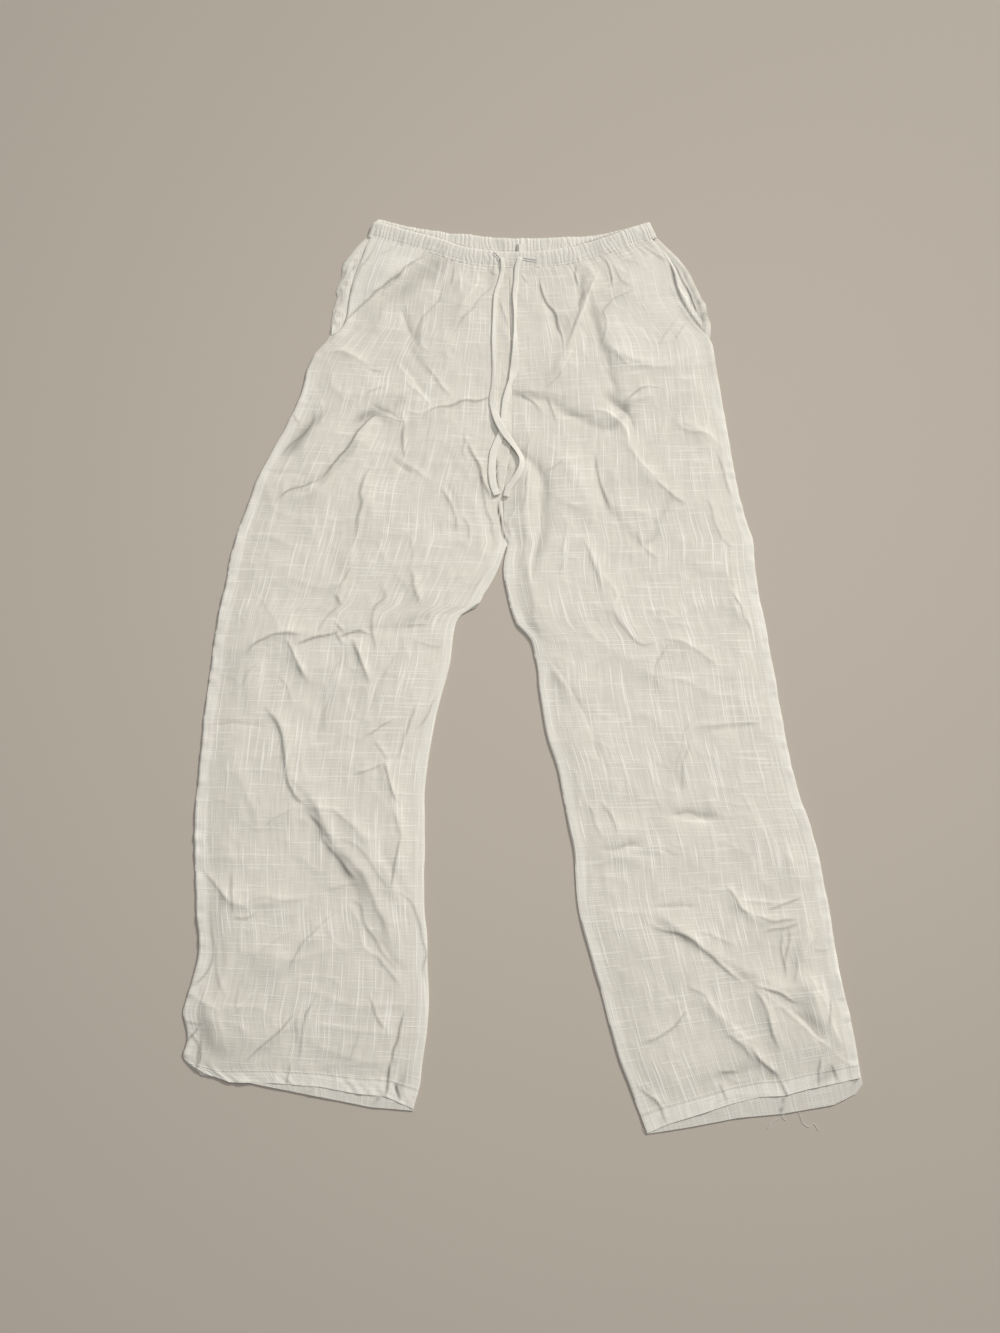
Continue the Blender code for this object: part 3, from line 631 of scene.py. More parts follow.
rightLeg = {
    "leg": (
        (-338, -476, -115, -513), (-358, -461, -108, -484), (-354, -442, -104, -459),
        (-360, -416, -101, -430), (-354, -386, -101, -396), (-349, -362, -102, -372),
        (-355, -300, -106, -303),
        (-360.8, -235, -108, -236), (-360, -170, -107, -171), (-359, -100, -97, -101),
        (-354, -35, -80, -35), (-350, 10, -74, 8), (-344, 50, -43, 48),
        (-339, 90, -26, 80), (-333, 120, -16, 106),
    ),
    "body": (
        (-333, 120, -16, 106), (-322, 155, -20, 140), (-315, 182, -20, 170),
        (-298, 222, -15, 205), (-283, 254, -11, 240), (-268, 295, -10, 285),
        (-253, 346, -10, 330), (-236, 369, -11, 357), (-220, 388, -12, 385),
        (-209, 446, -13, 432), (-199, 474, -13, 450), (-187, 504, -14, 469),
    ),
    "innerNudge": ((-60, 0), (1, -2), (20, -4), (30, 6), (44, 1), (63, 1), (98, 0)),
    "hemWave": ((0, 0), (0.14, -4.9), (0.35, 1.8), (0.56, 5.6), (0.73, 5.2), (0.87, 7.3), (1, 0)),
    "backHem": (-338, -479, -115, -515),
    "backHemWave": ((0, 0), (0.25, 0), (0.65, -2.5), (0.8, -3.5), (1, 0)),
    "backHip": ((-238, 369), (-234, 388), (-225.5, 446), (-218, 472), (-189, 506)),
    "folds": (
        (2.2, 18, 9, ((-288, -82), (-270, -104), (-251, -172), (-226, -200))),
        (4.6, 20, 8, ((-240, -178), (-226, -200), (-213, -231), (-174, -274), (-152, -318), (-136, -350))),
        (4.4, 22, 8, ((-166, 262), (-184, 248), (-199, 219), (-216, 197), (-250, 165), (-276, 158))),
        (3.0, 16, 14, ((-180, 196), (-192, 120), (-226, 18))),
        (3.0, 12, 12, ((-322, -34), (-284, -8), (-206, -6))),
        (2.8, 10, 12, ((-271, -12), (-240, -64))),
        (2.8, 10, 12, ((-191, -8), (-170, -70))),
        (2.6, 12, 12, ((-126, 70), (-116, 30))),
        (3.2, 20, 14, ((-203, -192), (-160, -256), (-138, -292), (-110, -330))),
        (3.0, 10, 12, ((-164, -128), (-146, -180), (-132, -240), (-142, -290))),
        (3.2, 12, 18, ((-196, -314), (-232, -346), (-284, -392))),
        (3.4, 12, 14, ((-222, -404), (-252, -434), (-284, -462))),
        (3.2, 12, 12, ((-346, -268), (-322, -298), (-240, -300))),
        (4.0, 12, 14, ((-348, -352), (-338, -400), (-320, -462))),
        (-3.0, 9, 10, ((-125, -404), (-136, -455), (-144, -500))),
        (2.6, 12, 12, ((-252, 352), (-206, 348), (-176, 320))),
        (2.4, 14, 12, ((-142, 252), (-104, 272), (-36, 297))),
        (3.2, 22, 9, ((-240, 362), (-181, 433), (-137, 473), (-104, 484))),
        (-2.4, 10, 14, ((-150, 345), (-108, 282))),
        (3.0, 10, 12, ((-52, 462), (-70, 418), (-84, 380))),
    ),
    "creases": centreCreases + (
        (1.4, 4, 3, 0.09, ((-68, 244), (-61, 227), (-51, 207), (-43, 186), (-39, 170), (-30, 154))),
        (0.9, 3, 3, 0.10, ((-47, 199), (-41, 178), (-36, 166))),
        (-1.2, 3, 3, 0.30, ((-66, 24), (-54, 28), (-44, 34))),
        (2.2, 9, 3, 0.16, ((-293, -85), (-275, -107), (-256, -177), (-249, -190), (-232, -204))),
        (2, 8, 4, 0.12, ((-235, -207), (-220, -228), (-217, -239))),
        (2.2, 9, 4, 0.14, ((-220, -235), (-180, -278))),
        (1.8, 9, 5, 0.1, ((-185, -297), (-174, -306), (-168, -324), (-134, -374))),
        (1.2, 8, 5, 0.05, ((-200, -235), (-187, -239), (-161, -265), (-141, -291))),
        (1, 4, 2.5, 0.18, ((-132, -233), (-140, -269), (-141, -291))),
        (0.9, 4, 2.5, 0.14, ((-141, -292), (-131, -293), (-124, -301), (-111, -327), (-102, -389))),
        (1.1, 4, 2.5, 0.11, ((-347, -267), (-314, -304))),
        (1.0, 4, 2.5, 0.11, ((-314, -267), (-312, -315))),
        (0.8, 4, 4, -0.04, ((-320, -306), (-323, -327))),
        (1, 6, 4, 0.08, ((-310, -320), (-299, -321), (-289, -314))),
        (0.9, 7, 5, 0.05, ((-305, -304), (-282, -298), (-257, -301), (-230, -297))),
        (0.8, 6, 4, 0.05, ((-211, -288), (-177, -283))),
        (1.3, 8, 5, 0.08, ((-198, -313), (-233, -346), (-241, -358), (-250, -379))),
        (0.9, 7, 5, 0.05, ((-240, -335), (-271, -349), (-281, -356))),
        (1.2, 6, 2.5, 0.15, ((-236, -416), (-278, -456), (-293, -467))),
        (1.2, 5, 3, 0.11, ((-220, -396), (-228, -419), (-236, -466))),
        (0.9, 4, 3, 0.07, ((-236, -417), (-240, -449))),
        (1, 4, 4, -0.04, ((-187, -304), (-178, -322), (-173, -343), (-144, -369))),
        (0.8, 4, 2.5, 0.1, ((-158, -359), (-144, -372), (-133, -387))),
        (0.9, 4, 2.5, 0.13, ((-163, -399), (-152, -425), (-144, -436))),
        (0.7, 4, 3, 0.05, ((-172, -435), (-179, -464))),
        (1.2, 4, 2.5, 0.19, ((-125, -415), (-133, -445), (-136, -471))),
        (1.3, 5, 2, 0.26, ((-140, -467), (-144, -501))),
        (-1.3, 4, 4, 0.3, ((-133, -488), (-131, -496), (-129, -503))),
        (1.1, 3, 3, 0.14, ((-350, -434), (-339, -449), (-341, -469))),
        (1.2, 2.5, 6, 0.14, ((-339, -306), (-337, -374), (-357, -394))),
        (0.8, 4, 2.5, 0.08, ((-328, -343), (-326, -368), (-315, -400))),
        (1, 4, 4, -0.05, ((-357, -394), (-329, -412), (-318, -422))),
        (0.8, 4, 4, -0.04, ((-318, -422), (-311, -462))),
        (0.9, 5, 5, -0.03, ((-277, -389), (-313, -422))),
        (1.2, 4, 3, 0.16, ((-341, -430), (-345, -440), (-350, -445))),
        (1.2, 4, 2, 0.16, ((-339, -444), (-338, -476))),
        (0.8, 3, 3, 0.12, ((-357, -426), (-342, -428))),
        (1, 3, 3, 0.14, ((-244, -470), (-247, -490))),
        (0.9, 5, 3, 0.05, ((-301, -389), (-301, -416))),
        (-1.2, 5, 5, 0.06, ((-355, -109), (-285, -110))),
        (1.4, 6, 2.5, 0.15, ((-318, -31), (-297, -12), (-282, -5), (-250, -2))),
        (1.6, 5, 2.5, 0.17, ((-269, -12), (-243, -58))),
        (1.3, 6, 2.5, 0.15, ((-259, -15), (-210, -1))),
        (1.2, 6, 2.5, 0.14, ((-208, -8), (-194, -2), (-174, -2))),
        (1, 3, 2.5, 0.14, ((-213, -2), (-205, -15))),
        (0.9, 3, 2.5, 0.12, ((-212, 8), (-204, 0))),
        (1.6, 5, 2.5, 0.17, ((-192, -11), (-172, -64))),
        (1, 3, 2.5, 0.14, ((-213, 42), (-208, 31))),
        (0.9, 4, 2.5, 0.09, ((-211, 29), (-233, 0))),
        (1.1, 4, 2.5, 0.12, ((-163, 57), (-157, 40), (-168, 25), (-170, -5), (-168, -20), (-164, -29))),
        (1.2, 4, 2.5, 0.13, ((-129, 73), (-117, 35))),
        (0.8, 5, 4, 0.08, ((-134, 5), (-109, 9))),
        (0.6, 4, 3, 0.05, ((-119, -14), (-93, -18))),
        (-1.5, 7, 7, 0.05, ((-202, -23), (-211, -41), (-225, -104), (-228, -132), (-227, -151))),
        (-1.3, 6, 6, 0.05, ((-136, -18), (-159, -58), (-171, -98))),
        (0.8, 6, 5, 0.05, ((-295, -38), (-308, -53), (-318, -70))),
        (0.8, 5, 4, 0.05, ((-274, -53), (-264, -68), (-260, -84))),
        (0.9, 5, 2.5, 0.09, ((-177, -120), (-146, -104))),
        (0.8, 4, 2.5, 0.09, ((-163, -128), (-152, -150))),
        (1.2, 4, 2, 0.2, ((-152, -149), (-143, -185), (-137, -193))),
        (0.9, 5, 3, 0.08, ((-186, -166), (-156, -153))),
        (0.8, 4, 3, 0.1, ((-115, -81), (-139, -149))),
        (0.9, 4, 2.5, 0.1, ((-95, -78), (-104, -98), (-115, -113))),
        (0.9, 7, 6, 0.05, ((-245, -202), (-290, -226))),
        (0.8, 6, 5, 0.05, ((-212, -199), (-178, -228))),
        (0.9, 5, 4, 0.08, ((-140, -204), (-137, -221), (-132, -233))),
        (2.4, 10, 3, 0.2, ((-164, 267), (-174, 266), (-192, 248), (-198, 235), (-238, 183))),
        (1.6, 8, 3, 0.16, ((-238, 183), (-278, 164), (-286, 157))),
        (1.8, 2.5, 6, 0.18, ((-172, 268), (-156, 262), (-140, 257))),
        (1.2, 3, 3, -0.06, ((-140, 256), (-141, 275))),
        (1.3, 3, 3, -0.08, ((-136, 276), (-128, 271), (-118, 270), (-108, 280))),
        (-1.5, 5, 5, 0.13, ((-178, 282), (-166, 276), (-156, 271), (-146, 263))),
        (1.3, 4, 3, 0.15, ((-139, 256), (-142, 243), (-139, 225), (-137, 215))),
        (1.0, 3, 5, 0.13, ((-25, 299), (-49, 292), (-79, 285), (-103, 277), (-121, 265))),
        (1.6, 8, 4, 0.11, ((-177, 204), (-183, 191), (-189, 147), (-195, 95))),
        (0.9, 4, 2.5, 0.1, ((-197, 77), (-212, 48))),
        (-1.6, 6, 5, 0.1, ((-154, 214), (-129, 193))),
        (1.2, 4, 4, -0.05, ((-141, 212), (-108, 188))),
        (1.4, 7, 4, 0.1, ((-96, 179), (-88, 167), (-73, 117))),
        (0.9, 5, 3, 0.08, ((-70, 142), (-62, 129), (-61, 111))),
        (0.8, 4, 3, 0.05, ((-129, 116), (-126, 92), (-127, 76))),
        (0.8, 4, 2.5, 0.09, ((-69, 247), (-65, 211))),
        (0.9, 4, 2.5, 0.11, ((-64, 237), (-45, 192), (-44, 167), (-39, 142), (-31, 123), (-26, 101))),
        (1, 4, 4, -0.05, ((-240, 290), (-238, 271), (-243, 254))),
        (0.9, 5, 3, 0.08, ((-247, 280), (-247, 261), (-258, 241), (-275, 228), (-287, 211))),
        (0.8, 2, 2, 0.12, ((-270, 269), (-266, 262))),
        (-0.9, 4, 4, 0.05, ((-304, 196), (-250, 189))),
        (0.9, 4, 4, -0.04, ((-179, 73), (-162, 103))),
        (1.2, 3, 3, -0.08, ((-142, 321), (-107, 280))),
        (0.8, 4, 4, -0.04, ((-100, 313), (-82, 294), (-85, 284))),
        (0.8, 5, 4, 0.06, ((-188, 298), (-164, 308))),
        (0.8, 3, 3, 0.06, ((-59, 40), (-50, 62), (-36, 83))),
        (1.2, 3, 2.5, 0.16, ((-236, 366), (-214, 397), (-188, 424), (-149, 463), (-111, 493))),
        (0.9, 3, 2.5, 0.1, ((-111, 493), (-100, 492), (-81, 477), (-77, 466))),
        (1.1, 3, 5, 0.11, ((-178, 509), (-199, 467), (-215, 418), (-218, 389))),
        (-2, 10, 8, 0.07, ((-147, 458), (-176, 425))),
        (1.5, 10, 10, 0, ((-151, 437), (-184, 374))),
        (-2.2, 9, 8, 0.09, ((-91, 459), (-104, 417), (-119, 403), (-126, 362), (-121, 352))),
        (-1.4, 6, 6, 0.06, ((-148, 416), (-129, 369))),
        (1, 4, 4, -0.06, ((-76, 473), (-73, 431))),
        (1, 4, 4, -0.06, ((-51, 466), (-51, 452), (-67, 422))),
        (-1.6, 6, 6, 0.09, ((-31, 453), (-59, 411), (-72, 397), (-86, 372))),
        (1.2, 5, 5, -0.05, ((-114, 399), (-121, 380), (-120, 362), (-110, 353))),
        (1.1, 4, 4, -0.05, ((-152, 339), (-119, 297))),
        (0.9, 4, 3, 0.08, ((-117, 335), (-88, 297))),
        (1.2, 5, 4, -0.05, ((-242, 353), (-206, 348), (-181, 325))),
        (-1.6, 8, 6, 0.08, ((-193, 338), (-181, 327), (-167, 324))),
        (-1.6, 13, 11, 0.03, ((-119, 478), (-104, 470), (-90, 456))),
        (0.9, 3, 2.5, 0.11, ((-80, 472), (-84, 445))),
        (0.8, 3, 3, 0.09, ((-23, 425), (-11, 388))),
        (0.9, 3, 2.5, 0.12, ((-37, 469), (-28, 461))),
        (0.7, 3, 4, 0.06, ((-177, 484), (-163, 491), (-144, 491))),
    ),
    "hollows": (  # depth, width, shade and line of the broad soft ones
        (1.3, 11, 0.1, ((-290, 205), (-274, 225), (-250, 257), (-225, 280))),
        (1.5, 11, 0.1, ((-206, 251), (-182, 270), (-158, 271))),
        (0.7, 10, 0.04, ((-158, 275), (-141, 293))),
        (0.8, 9, 0.04, ((-292, 159), (-237, 190), (-187, 235))),
        (0.9, 13, 0.05, ((-116, 484), (-92, 474))),
        (0.9, 22, 0.06, ((-82, 470), (-112, 464), (-143, 436), (-173, 405))),
        (0.8, 9, 0.04, ((-144, 412), (-129, 353), (-103, 313))),
        (0.9, 7, 0.05, ((-182, 160), (-190, 74))),
        (0.8, 7, 0.05, ((-88, 183), (-70, 138))),
        (0.7, 7, 0.04, ((-259, -4), (-180, 1), (-96, 10))),
        (0.7, 6, 0.045, ((-228, -40), (-221, -139))),
        (1.4, 9, 0.085, ((-246, -187), (-196, -263), (-166, -325))),
        (1.1, 8, 0.08, ((-166, -325), (-123, -381))),
        (0.9, 7, 0.06, ((-159, -239), (-115, -310))),
        (0.8, 7, 0.055, ((-149, 8), (-119, 14), (-92, 17))),
        (0.6, 5, 0.05, ((-217, 42), (-211, 10))),
        (1.1, 24, 0.1, ((-350, -412), (-325, -450), (-284, -467))),
        (0.6, 8, 0.08, ((-133, -497), (-123, -475))),
        (-0.8, 14, -0.03, ((-198, 447), (-227, 346))),
        (-0.6, 10, -0.03, ((-57, 184), (-33, 76))),
    ),
    "backFolds": (
        (1.5, 16, 12, ((-300, 150), (-240, 190), (-170, 236), (-120, 300))),
        (1.3, 12, 14, ((-110, 70), (-170, 30), (-250, 24), (-320, 50))),
        (1.5, 14, 12, ((-330, -60), (-260, -110), (-180, -128), (-120, -110))),
        (1.4, 14, 10, ((-130, -180), (-190, -230), (-236, -310), (-250, -380))),
        (1.2, 12, 12, ((-340, -300), (-290, -340), (-220, -352))),
        (1.3, 10, 14, ((-130, -400), (-200, -420), (-300, -404))),
        (1.2, 12, 12, ((-60, 180), (-80, 250), (-70, 330))),
        (1.1, 12, 12, ((-200, 300), (-180, 380), (-130, 440))),
    ),
    "backCreases": (
        (0.9, 3, 3, 0.12, ((-150, -498), (-156, -512))),
        (0.8, 3, 3, 0.1, ((-222, -494), (-228, -504))),
    ),
    "doubled": ((-245, 372), (-215, 400), (-181, 433), (-161, 453), (-137, 473), (-112, 494)),
    "bagShown": 0.75,  # how much of the bag shows through as a paler patch
    "mouthRise": 0.15,
    "mouthShade": 0,
    "edgeWaves": (0.5, 0.9),
    "seed": 3,
}
leftLeg = {
    "leg": (
        (359, -485, 129, -538), (358, -462, 117, -508), (354, -428, 103, -468),
        (346, -390, 90, -422), (341, -345, 77, -370), (337, -300, 62, -314),
        (327, -240, 56, -245), (309, -172, 43, -174), (299, -100, 24, -100),
        (291, -35, 16, -35), (284, 20, -8, 15), (279, 50, -16, 48),
        (277, 85, -20, 78), (276, 118, -16, 106),
    ),
    "body": (
        (276, 118, -16, 106), (267, 155, -20, 140), (262, 182, -20, 170),
        (258, 214, -15, 205), (254, 245, -11, 240), (249, 290, -10, 285),
        (242, 345, -10, 330), (238, 374, -11, 365), (215, 404, -12, 400),
        (196, 440, -13, 432), (189, 474, -13, 450), (168, 504, -14, 469),
    ),
    "innerNudge": ((-90, 0), (-60, -1.5), (-29, 1), (-9, 7), (-1, 5), (9, 0), (98, 0)),
    "hemWave": (
        (0, 0), (0.09, 0.6), (0.25, 2.4), (0.36, 1.9), (0.47, 6.7), (0.61, 7.3), (0.9, 3.5), (1, 0),
    ),
    "backHem": (361, -491, 129, -539),
    "backHemWave": ((0, 0), (0.03, -8), (0.14, -14), (0.38, -11), (0.58, -5), (0.81, -2.9), (1, 0)),
    "backHip": ((238, 374), (237, 404), (227, 440), (210, 474), (176, 513)),
    "folds": (
        (2.2, 14, 12, ((82, 275), (120, 264), (132, 230), (160, 187), (204, 155))),
        (4.2, 14, 10, ((110, 288), (140, 290), (172, 306))),
        (2.8, 12, 12, ((186, 268), (222, 250), (244, 232))),
        (-3.0, 14, 12, ((86, 230), (94, 188), (110, 148))),
        (1.8, 12, 16, ((66, 124), (92, 74), (112, 24), (152, -14))),
        (1.6, 12, 14, ((160, -4), (198, -14), (230, -42))),
        (4.0, 12, 11, ((2, 234), (5, 147), (10, 60), (32, -34), (66, -80))),
        (3.2, 12, 12, ((242, 62), (250, 32), (268, 0))),
        (2.4, 16, 12, ((94, -262), (130, -247), (178, -254))),
        (-2.4, 12, 14, ((158, -206), (226, -218))),
        (3.4, 12, 12, ((192, -98), (178, -137), (172, -178))),
        (2.8, 15, 8, ((142, -313), (202, -353))),
        (1.4, 13, 8, ((190, -346), (256, -383), (300, -403))),
        (3.4, 12, 12, ((246, -388), (262, -425), (275, -458))),
        (4.2, 12, 17, ((298, -368), (316, -412), (344, -462))),
        (2.9, 16, 11, ((174, -388), (232, -446), (274, -486))),
        (3.0, 14, 11, ((219, -286), (246, -318), (306, -324))),
        (3.2, 11, 11, ((328, -304), (308, -341), (294, -376))),
        (-3.4, 10, 10, ((24, 456), (40, 408), (52, 366))),
        (4.2, 12, 11, ((98, 468), (77, 412), (60, 366), (34, 304))),
        (2.4, 12, 10, ((104, 408), (101, 370), (122, 352), (190, 340))),
    ),
    "creases": centreCreases + (
        (1.6, 5, 2.5, 0.22, ((23, 465), (34, 426), (44, 406), (54, 362))),
        (1.2, 4, 2.5, 0.17, ((70, 477), (74, 448))),
        (1.8, 7, 6, -0.06, ((104, 478), (62, 365))),
        (-1.4, 5, 4, 0.11, ((83, 444), (58, 365))),
        (1.2, 4, 4, -0.06, ((65, 358), (49, 328))),
        (0.8, 3, 3, 0.06, ((51, 328), (44, 316), (34, 308))),
        (1.3, 4, 2.5, 0.19, ((108, 489), (116, 462), (117, 448))),
        (1.1, 3, 2.5, 0.16, ((157, 507), (170, 494), (184, 484))),
        (0.9, 3, 2.5, 0.12, ((151, 503), (161, 490))),
        (0.9, 5, 3, 0.09, ((119, 481), (132, 451), (144, 446))),
        (0.8, 4, 4, -0.05, ((116, 481), (126, 470), (139, 463))),
        (0.9, 4, 3, 0.1, (
            (152, 446), (140, 436), (125, 430), (112, 421), (105, 411), (108, 400), (107, 386),
            (101, 370), (99, 356),
        )),
        (1.2, 4, 4, -0.06, ((112, 366), (119, 352), (129, 344), (141, 340), (178, 338), (191, 341))),
        (0.9, 4, 4, -0.05, ((101, 356), (108, 334), (120, 312))),
        (0.9, 3, 3, 0.11, ((3, 459), (9, 452))),
        (0.8, 3, 3, 0.08, ((126, 498), (132, 484), (152, 480))),
        (0.8, 6, 5, 0.06, ((200, 408), (189, 394), (173, 363))),
        (0.8, 4, 3, 0.07, ((209, 395), (192, 374))),
        (0.9, 4, 4, -0.04, ((76, 385), (82, 345))),
        (0.9, 3, 5, 0.1, ((-10, 303), (73, 293))),
        (1.4, 5, 3, 0.15, ((1, 301), (20, 285), (25, 276))),
        (1.3, 5, 3, 0.13, ((33, 295), (42, 265))),
        (-1, 6, 5, 0.08, ((48, 274), (91, 268))),
        (1.4, 3, 6, 0.15, ((128, 292), (156, 308), (171, 307))),
        (1.8, 4, 5, -0.08, ((82, 277), (99, 277), (123, 263), (130, 250), (132, 229))),
        (-2.0, 6, 6, 0.12, ((120, 281), (131, 276), (137, 266), (140, 253))),
        (1.3, 4, 4, -0.07, ((132, 229), (149, 204), (161, 191))),
        (1.2, 5, 3, 0.1, ((161, 191), (184, 168), (196, 160))),
        (1.2, 4, 4, -0.07, ((189, 266), (201, 256), (228, 250), (237, 241), (241, 233))),
        (0.9, 3, 3, -0.05, ((230, 280), (226, 251))),
        (1.8, 6, 3, 0.18, ((91, 220), (97, 181), (107, 147))),
        (0.8, 4, 3, 0.07, ((30, 200), (53, 213))),
        (-1.6, 8, 7, 0.08, ((16, 225), (24, 200), (25, 161), (13, 50))),
        (1.1, 4, 3, 0.13, ((8, 199), (4, 151))),
        (1.3, 6, 4, 0.1, ((71, 116), (87, 81), (95, 48))),
        (0.9, 5, 3, 0.08, ((139, 127), (141, 113), (150, 100), (161, 90))),
        (0.9, 6, 5, 0.06, ((56, 143), (45, 62))),
        (0.9, 5, 4, 0.07, ((217, 170), (226, 157), (232, 132), (240, 114), (252, 104))),
        (1.1, 5, 3, 0.12, ((236, 228), (256, 164))),
        (0.8, 4, 3, 0.07, ((244, 89), (250, 52))),
        (1.4, 4, 3, 0.17, ((246, 52), (268, 4))),
        (0.9, 4, 4, -0.05, ((96, 69), (113, 44), (107, 31))),
        (1, 5, 3, 0.08, ((108, 27), (128, -7), (143, -14), (158, -12))),
        (1, 4, 4, -0.06, ((166, -4), (183, -9), (200, -18), (228, -39))),
        (0.7, 4, 4, -0.04, ((140, 28), (167, 27), (182, 18))),
        (-1.1, 6, 6, 0.07, ((169, -15), (151, -50), (152, -79))),
        (-1.2, 6, 5, 0.07, ((21, -10), (70, -91), (88, -142), (101, -168))),
        (-1, 5, 5, 0.06, ((197, -98), (187, -111), (174, -159), (172, -181))),
        (-1.3, 5, 6, 0.08, ((188, -119), (180, -165), (179, -187))),
        (0.8, 4, 4, 0.06, ((191, -111), (277, -103))),
        (-1.2, 7, 6, 0.08, ((159, -209), (181, -207), (214, -217))),
        (-1.1, 6, 6, 0.07, ((91, -248), (130, -243), (179, -254))),
        (1, 5, 4, 0.07, ((90, -193), (100, -209), (106, -229))),
        (0.9, 5, 4, 0.06, ((70, -193), (92, -237))),
        (0.8, 4, 4, -0.04, ((52, -152), (62, -165), (65, -182), (63, -204))),
        (2.6, 9, 4, 0.14, (
            (133, -320), (149, -331), (167, -334), (198, -355), (231, -383), (244, -391),
        )),
        (1.5, 6, 3, 0.13, ((246, -391), (261, -418), (263, -431), (276, -460))),
        (1.8, 6, 3, 0.18, ((248, -387), (297, -407))),
        (1.3, 4, 4, -0.06, ((250, -388), (268, -404))),
        (-1.6, 8, 8, 0.1, ((286, -411), (325, -450))),
        (1.2, 3, 3, -0.05, ((270, -406), (331, -459))),
        (1.4, 4, 4, -0.07, ((303, -373), (312, -385), (342, -460))),
        (1.5, 5, 3, 0.12, ((223, -286), (233, -296), (240, -309), (248, -317))),
        (0.9, 3, 3, -0.05, ((238, -301), (276, -306))),
        (0.9, 5, 3, 0.11, ((271, -309), (304, -299))),
        (1, 5, 3, 0.1, ((248, -317), (281, -323), (303, -323))),
        (0.8, 4, 3, 0.09, ((264, -335), (303, -325))),
        (1, 3, 2.5, 0.13, ((280, -333), (284, -380))),
        (0.9, 3, 3, 0.11, ((291, -333), (289, -354), (284, -370))),
        (1.2, 5, 3, 0.11, ((124, -448), (140, -444), (176, -415))),
        (1, 5, 3, 0.08, ((176, -390), (197, -402), (205, -416))),
        (0.8, 4, 4, -0.03, ((190, -400), (210, -421), (252, -451))),
        (1.6, 6, 3, 0.14, ((243, -456), (271, -484))),
        (1.1, 6, 5, 0.08, ((216, -436), (230, -448), (245, -466))),
        (1.2, 3, 2.5, 0.17, ((271, -486), (279, -503))),
        (1.2, 4, 3, 0.16, ((317, -462), (312, -494))),
        (1.1, 3, 3, 0.16, ((327, -472), (332, -485))),
        (0.9, 3, 3, -0.05, ((331, -459), (342, -467), (354, -471))),
        (1.3, 4, 2.5, 0.13, ((120, -487), (143, -513), (151, -528))),
        (1, 3, 3, -0.06, ((125, -486), (147, -513))),
        (0.9, 4, 3, 0.11, ((207, -478), (224, -477))),
        (0.9, 3, 3, 0.09, ((210, -491), (215, -506))),
        (1.2, 4, 3, 0.13, ((333, -406), (328, -434))),
        (1, 4, 4, -0.05, ((336, -307), (337, -344), (346, -406))),
        (0.8, 3, 3, 0.04, ((318, -352), (333, -353))),
        (0.8, 4, 4, -0.04, ((315, -333), (303, -370))),
        (0.9, 4, 3, 0.08, ((298, -365), (295, -385))),
        (-1, 5, 5, 0.06, ((139, -307), (155, -309), (194, -306))),
        (0.7, 4, 4, -0.03, ((89, -317), (117, -313), (144, -315))),
        (0.9, 6, 5, 0.05, ((193, -335), (230, -349))),
    ),
    "hollows": (  # depth, width, shade and line of the broad soft ones
        (1.2, 9, 0.065, ((-36, 302), (22, 295), (64, 273), (108, 257), (136, 287))),
        (1.3, 10, 0.075, ((86, 440), (96, 393), (109, 343), (127, 284))),
        (1.5, 11, 0.1, ((100, 303), (116, 291), (134, 275))),
        (1.5, 9, 0.08, ((-36, 268), (-10, 229), (19, 207), (29, 135), (12, 66))),
        (-1, 16, -0.03, ((47, 229), (73, 185), (87, 130))),
        (0.8, 9, 0.055, ((89, 196), (113, 142), (143, 109), (185, 186))),
        (0.8, 6, 0.05, ((78, 474), (77, 416))),
        (0.8, 6, 0.05, ((80, -246), (134, -242))),
        (0.8, 6, 0.05, ((165, -207), (223, -211))),
        (0.8, 6, 0.05, ((182, -118), (177, -196))),
        (0.6, 5, 0.03, ((186, -120), (288, -101))),
        (1.1, 8, 0.07, ((141, -323), (186, -345))),
        (0.8, 6, 0.04, ((186, -345), (259, -399))),
        (1.1, 8, 0.08, ((280, -392), (323, -444))),
        (0.8, 9, 0.065, ((173, -491), (213, -480), (254, -477), (274, -496))),
        (1.0, 11, 0.1, ((306, -492), (338, -470))),
        (0.6, 6, 0.03, ((29, -38), (48, -98))),
    ),
    "backFolds": (
        (1.5, 12, 16, ((20, 200), (80, 176), (150, 130), (240, 120))),
        (1.3, 14, 12, ((30, 60), (90, 10), (180, -6), (270, 40))),
        (1.4, 12, 14, ((50, -90), (130, -130), (220, -120), (290, -90))),
        (1.5, 12, 12, ((80, -240), (150, -210), (220, -250), (300, -260))),
        (1.4, 14, 10, ((110, -330), (180, -366), (240, -420), (270, -470))),
        (1.2, 12, 12, ((330, -300), (270, -350), (250, -390))),
        (1.2, 12, 12, ((40, 300), (60, 380), (50, 450))),
        (1.2, 12, 12, ((230, 230), (180, 290), (150, 380))),
    ),
    "backCreases": (
        # painted shadow inside the hem's open end, under the front hem's edge
        (-0.6, 4, 4, 0.3, ((328, -489), (343, -486), (357, -482))),
        (1.0, 3, 3, 0.16, ((278, -505), (274, -518))),
        (0.8, 3, 3, 0.1, ((202, -512), (205, -524))),
        (0.8, 4, 4, 0.12, ((352, -484), (350, -498))),
    ),
    "doubled": (
        (149, 500), (126, 440), (106, 412), (102, 378), (119, 354), (149, 340), (240, 345), (260, 500),
    ),
    "bagShown": 0.35,
    "mouthRise": 0.3,
    "mouthShade": 0.22,
    "edgeWaves": (0.5, 0.8),
    "seed": 5,
}


